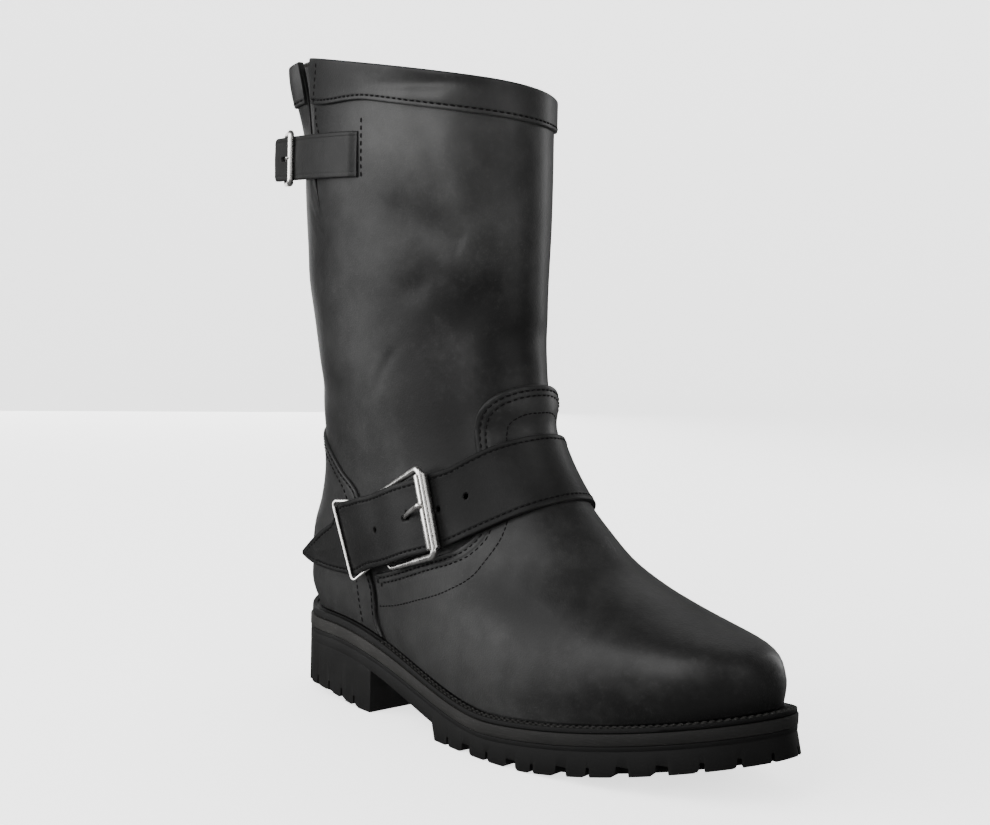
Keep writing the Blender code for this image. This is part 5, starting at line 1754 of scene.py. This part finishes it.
class BOOT_OT_sole(bpy.types.Operator):
    """Welt, midsole band, lugged outsole, heel block and insole"""

    bl_idname = "boot.sole"
    bl_label = "Sole"

    def execute(self, context):
        choice = context.scene.boot_sole
        self.welt(choice)
        self.midsole(choice)
        rubber = rubber_finish("tread_rubber", tuple(choice.tread), 0.05)
        self.outsole(rubber)
        self.heel(rubber)
        rings = [sole_ring(-INSOLE_INSET - d, below(-GAP - h), reach=0.0) for d, h in
                 ((0.6, INSOLE_THICK), (0.1, INSOLE_THICK - 0.4), (0.0, 0.0))]
        settle(ring_piece("insole_pad", rings, lining_finish()), "lining_leather", "insole")
        return {"FINISHED"}

    def welt(self, choice):
        """Ledge round the upper: a ridge beside the leather, two stitch rows, a waxed edge."""
        top = ((0.6, 0.0), (1.5, -0.35), (2.1, -0.35), (2.5, 0.05), (3.0, 0.12), (3.5, 0.05),
               (4.1, 0.02), (4.45, 0.18), (WELT_GROW, 0.5))
        rings = [sole_ring(grow, below(WELT_TOP + drop, 0.0, HEEL_LIP if grow > 2.2 else 0.0))
                 for grow, drop in top]
        low = WELT_TOP + WELT_THICK
        foot = below(low, WELT_MORE)
        rings += [sole_ring(WELT_GROW, below(low - 0.3, WELT_MORE)), sole_ring(WELT_GROW - 0.3, foot),
                  sole_ring(-WELT_TUCK, foot), sole_ring(-WELT_TUCK, below(WELT_TOP))]
        finish = rubber_finish("welt_black", tuple(choice.welt), 0.03)
        settle(ring_piece("welt_strip", rings, finish, True), "welt_black", "welt")
        runs = []
        for grow, drop in ((1.85, -0.35), (3.2, 0.05)):
            ring = sole_ring(grow, below(WELT_TOP + drop))
            ring = np.roll(ring, len(ring) // 2, axis=0)
            ring = ring[ring[:, 0] > 48.0]
            runs.append((ring, np.tile((0.0, 0.0, 1.0), (len(ring), 1))))
        thread = thread_finish("welt_thread", (0.010, 0.0098, 0.0093))
        settle(stitch_piece("welt_stitches", runs, thread, *WELT_STITCH), "welt_black")

    def midsole(self, choice):
        """Grey band with fine moulded lines."""
        side = ((0.9, -0.1), (0.3, 0.02), (0.0, 0.5), (0.0, 5.3), (0.15, 5.62),
                (0.4, MIDSOLE_THICK + 0.1))
        rings = [sole_ring(MIDSOLE_GROW - less,
                           below(MIDSOLE_TOP + drop, WELT_MORE + drop / MIDSOLE_THICK * BAND_MORE))
                 for less, drop in side]
        finish = rubber_finish("midsole_rubber", tuple(choice.band), 0.16)
        settle(ring_piece("midsole_band", rings, finish), "midsole_rubber", "midsole")

    def outsole(self, rubber):
        """Lugged outsole with a groove along its side, an arch and a flared toe."""
        side = ((0.3, -0.1), (0.05, 0.1), (0.0, 0.4), (0.0, 1.8), (0.2, 2.3), (0.0, 2.9))
        rings = [sole_ring(OUTSOLE_GROW - less, below(OUTSOLE_TOP + drop, WELT_MORE + BAND_MORE))
                 for less, drop in side]
        rings.append(sole_ring(OUTSOLE_GROW, tread, TOE_FLARE))
        piece = ring_piece("outsole_tread", rings, rubber)
        arch = np.linspace(-70.0, FOREFOOT_X, 30)
        line = [(x, float(feather(x)) - OUTSOLE_TOP - WAIST_THICK) for x in arch]
        line += [(FOREFOOT_X + FOREFOOT_SLOPE, -10.0), (-70.0, -10.0)]
        cut(piece, side_prism("arch_space", line), gaps_piece("lug_gaps", rim_gaps()),
            gaps_piece("centre_gaps", centre_boxes()), ring_groove())
        soften(piece, 0.35)
        settle(piece, "tread_rubber", "outsole")

    def heel(self, rubber):
        """Heel block with slits along its edge."""
        rings = [sole_ring(OUTSOLE_GROW - 0.03, below(OUTSOLE_TOP + WAIST_THICK - 1.2)),
                 sole_ring(OUTSOLE_GROW - 0.03, below(OUTSOLE_TOP + WAIST_THICK + 1.0)),
                 sole_ring(OUTSOLE_GROW, heel_rim), sole_ring(OUTSOLE_GROW - RIM_WIDTH, np.zeros_like)]
        piece = ring_piece("heel_block", rings, rubber)
        front = side_prism("heel_front", [(BREAST_X, -20.0), (320.0, -20.0), (320.0, 90.0),
                                          (BREAST_X, 90.0)])
        gaps = []
        for side in (-1, 1):
            for k in range(HEEL_SLITS):
                spot, along, inward = edge_walk(side, -HEEL_SLIT_FIRST - HEEL_SLIT_PITCH * k)
                low = float(heel_rim(spot[0]))
                gaps.append(gap_prism(spot, along, inward, HEEL_SLIT, low, HEEL_SLIT_TALL, GAP_OUT,
                                      HEEL_SLIT_DEEP, HEEL_ROUND))
        cut(piece, front, gaps_piece("heel_slits", gaps))
        soften(piece, 0.4)
        settle(piece, "tread_rubber", "heel")


# Stage


class BOOT_OT_stage(bpy.types.Operator):
    """Pale floor, soft studio light and the camera"""

    bl_idname = "boot.stage"
    bl_label = "Stage"

    def execute(self, context):
        choice = context.scene.boot_stage
        angle = np.linspace(0.0, 2.0 * math.pi, 65)[:-1]
        rings = [np.column_stack([r * np.cos(angle), r * np.sin(angle), np.full(64, h - FLOOR_SINK)])
                 for r, h in FLOOR_RINGS]
        index = np.arange(len(rings) * 64).reshape(-1, 64)
        faces = [*quads(index, True), index[0]]
        floor = make_piece("floor", np.concatenate(rings), faces, [floor_finish()])
        if floor.data.polygons[-1].normal.z < 0:
            floor.data.flip_normals()
        floor.visible_glossy = False
        self.camera(context, choice)
        world = bpy.data.worlds.new("studio")
        context.scene.world = world
        world.use_nodes = True
        sky = world.node_tree.nodes["Background"].inputs
        sky["Color"].default_value = (1.0, 1.0, 1.0, 1.0)
        sky["Strength"].default_value = choice.sky
        for key, size, place in LAMPS:
            self.lamp(context, key + "_light", getattr(choice, key), size, Vector(place))
        return {"FINISHED"}

    def camera(self, context, choice):
        """Camera at the photo's angle, with its roll."""
        flat = math.cos(choice.rise)
        back = Vector((math.sin(choice.turn) * flat, -math.cos(choice.turn) * flat,
                       math.sin(choice.rise)))
        right = Vector((0.0, 0.0, 1.0)).cross(back).normalized()
        up = back.cross(right)
        tilted = right * math.cos(choice.roll) + up * math.sin(choice.roll)
        data = bpy.data.cameras.new("camera")
        data.lens = choice.lens
        data.sensor_width = 36.0
        data.clip_start = 0.01
        piece = bpy.data.objects.new("camera", data)
        context.scene.collection.objects.link(piece)
        turn = Matrix((tilted, back.cross(tilted), back)).transposed().to_4x4()
        place = Vector(CAMERA_TARGET) + back * choice.distance
        piece.matrix_world = Matrix.Translation(place) @ turn
        context.scene.camera = piece

    def lamp(self, context, name, power, size, place):
        """Large soft light that faces the boot."""
        data = bpy.data.lights.new(name, "AREA")
        data.shape = "RECTANGLE"
        data.energy = power
        data.size, data.size_y = size
        piece = bpy.data.objects.new(name, data)
        context.scene.collection.objects.link(piece)
        facing = (place - Vector(LAMP_TARGET)).to_track_quat("Z", "Y").to_matrix().to_4x4()
        piece.matrix_world = Matrix.Translation(place) @ facing


OPERATORS = (BOOT_OT_upper, BOOT_OT_vamp, BOOT_OT_counter, BOOT_OT_collar, BOOT_OT_gusset,
             BOOT_OT_instep_strap, BOOT_OT_collar_strap, BOOT_OT_buckles, BOOT_OT_sole, BOOT_OT_stage)


class BOOT_PT_panel(bpy.types.Panel):
    """Lists the boot's settings and the steps that build it"""

    bl_idname = "BOOT_PT_panel"
    bl_label = "Motorcycle boot"
    bl_space_type = "VIEW_3D"
    bl_region_type = "UI"
    bl_category = "Boot"

    def draw(self, context):
        layout = self.layout
        for title, group in SETTINGS.items():
            box = layout.box()
            for key in group.__annotations__:
                box.prop(getattr(context.scene, title), key)
        for step in OPERATORS:
            layout.operator(step.bl_idname)


def register():
    for group in (*SETTINGS.values(), *OPERATORS, BOOT_PT_panel):
        bpy.utils.register_class(group)
    for title, group in SETTINGS.items():
        setattr(bpy.types.Scene, title, PointerProperty(type=group))


def unregister():
    for title in SETTINGS:
        delattr(bpy.types.Scene, title)
    for group in (BOOT_PT_panel, *OPERATORS[::-1], *list(SETTINGS.values())[::-1]):
        bpy.utils.unregister_class(group)


def main():
    register()
    bpy.ops.boot.stage()
    bpy.ops.boot.upper()
    bpy.ops.boot.vamp()
    bpy.ops.boot.counter()
    bpy.ops.boot.collar()
    bpy.ops.boot.gusset()
    bpy.ops.boot.instep_strap()
    bpy.ops.boot.collar_strap()
    bpy.ops.boot.buckles()
    bpy.ops.boot.sole()


if __name__ == "__main__":
    main()
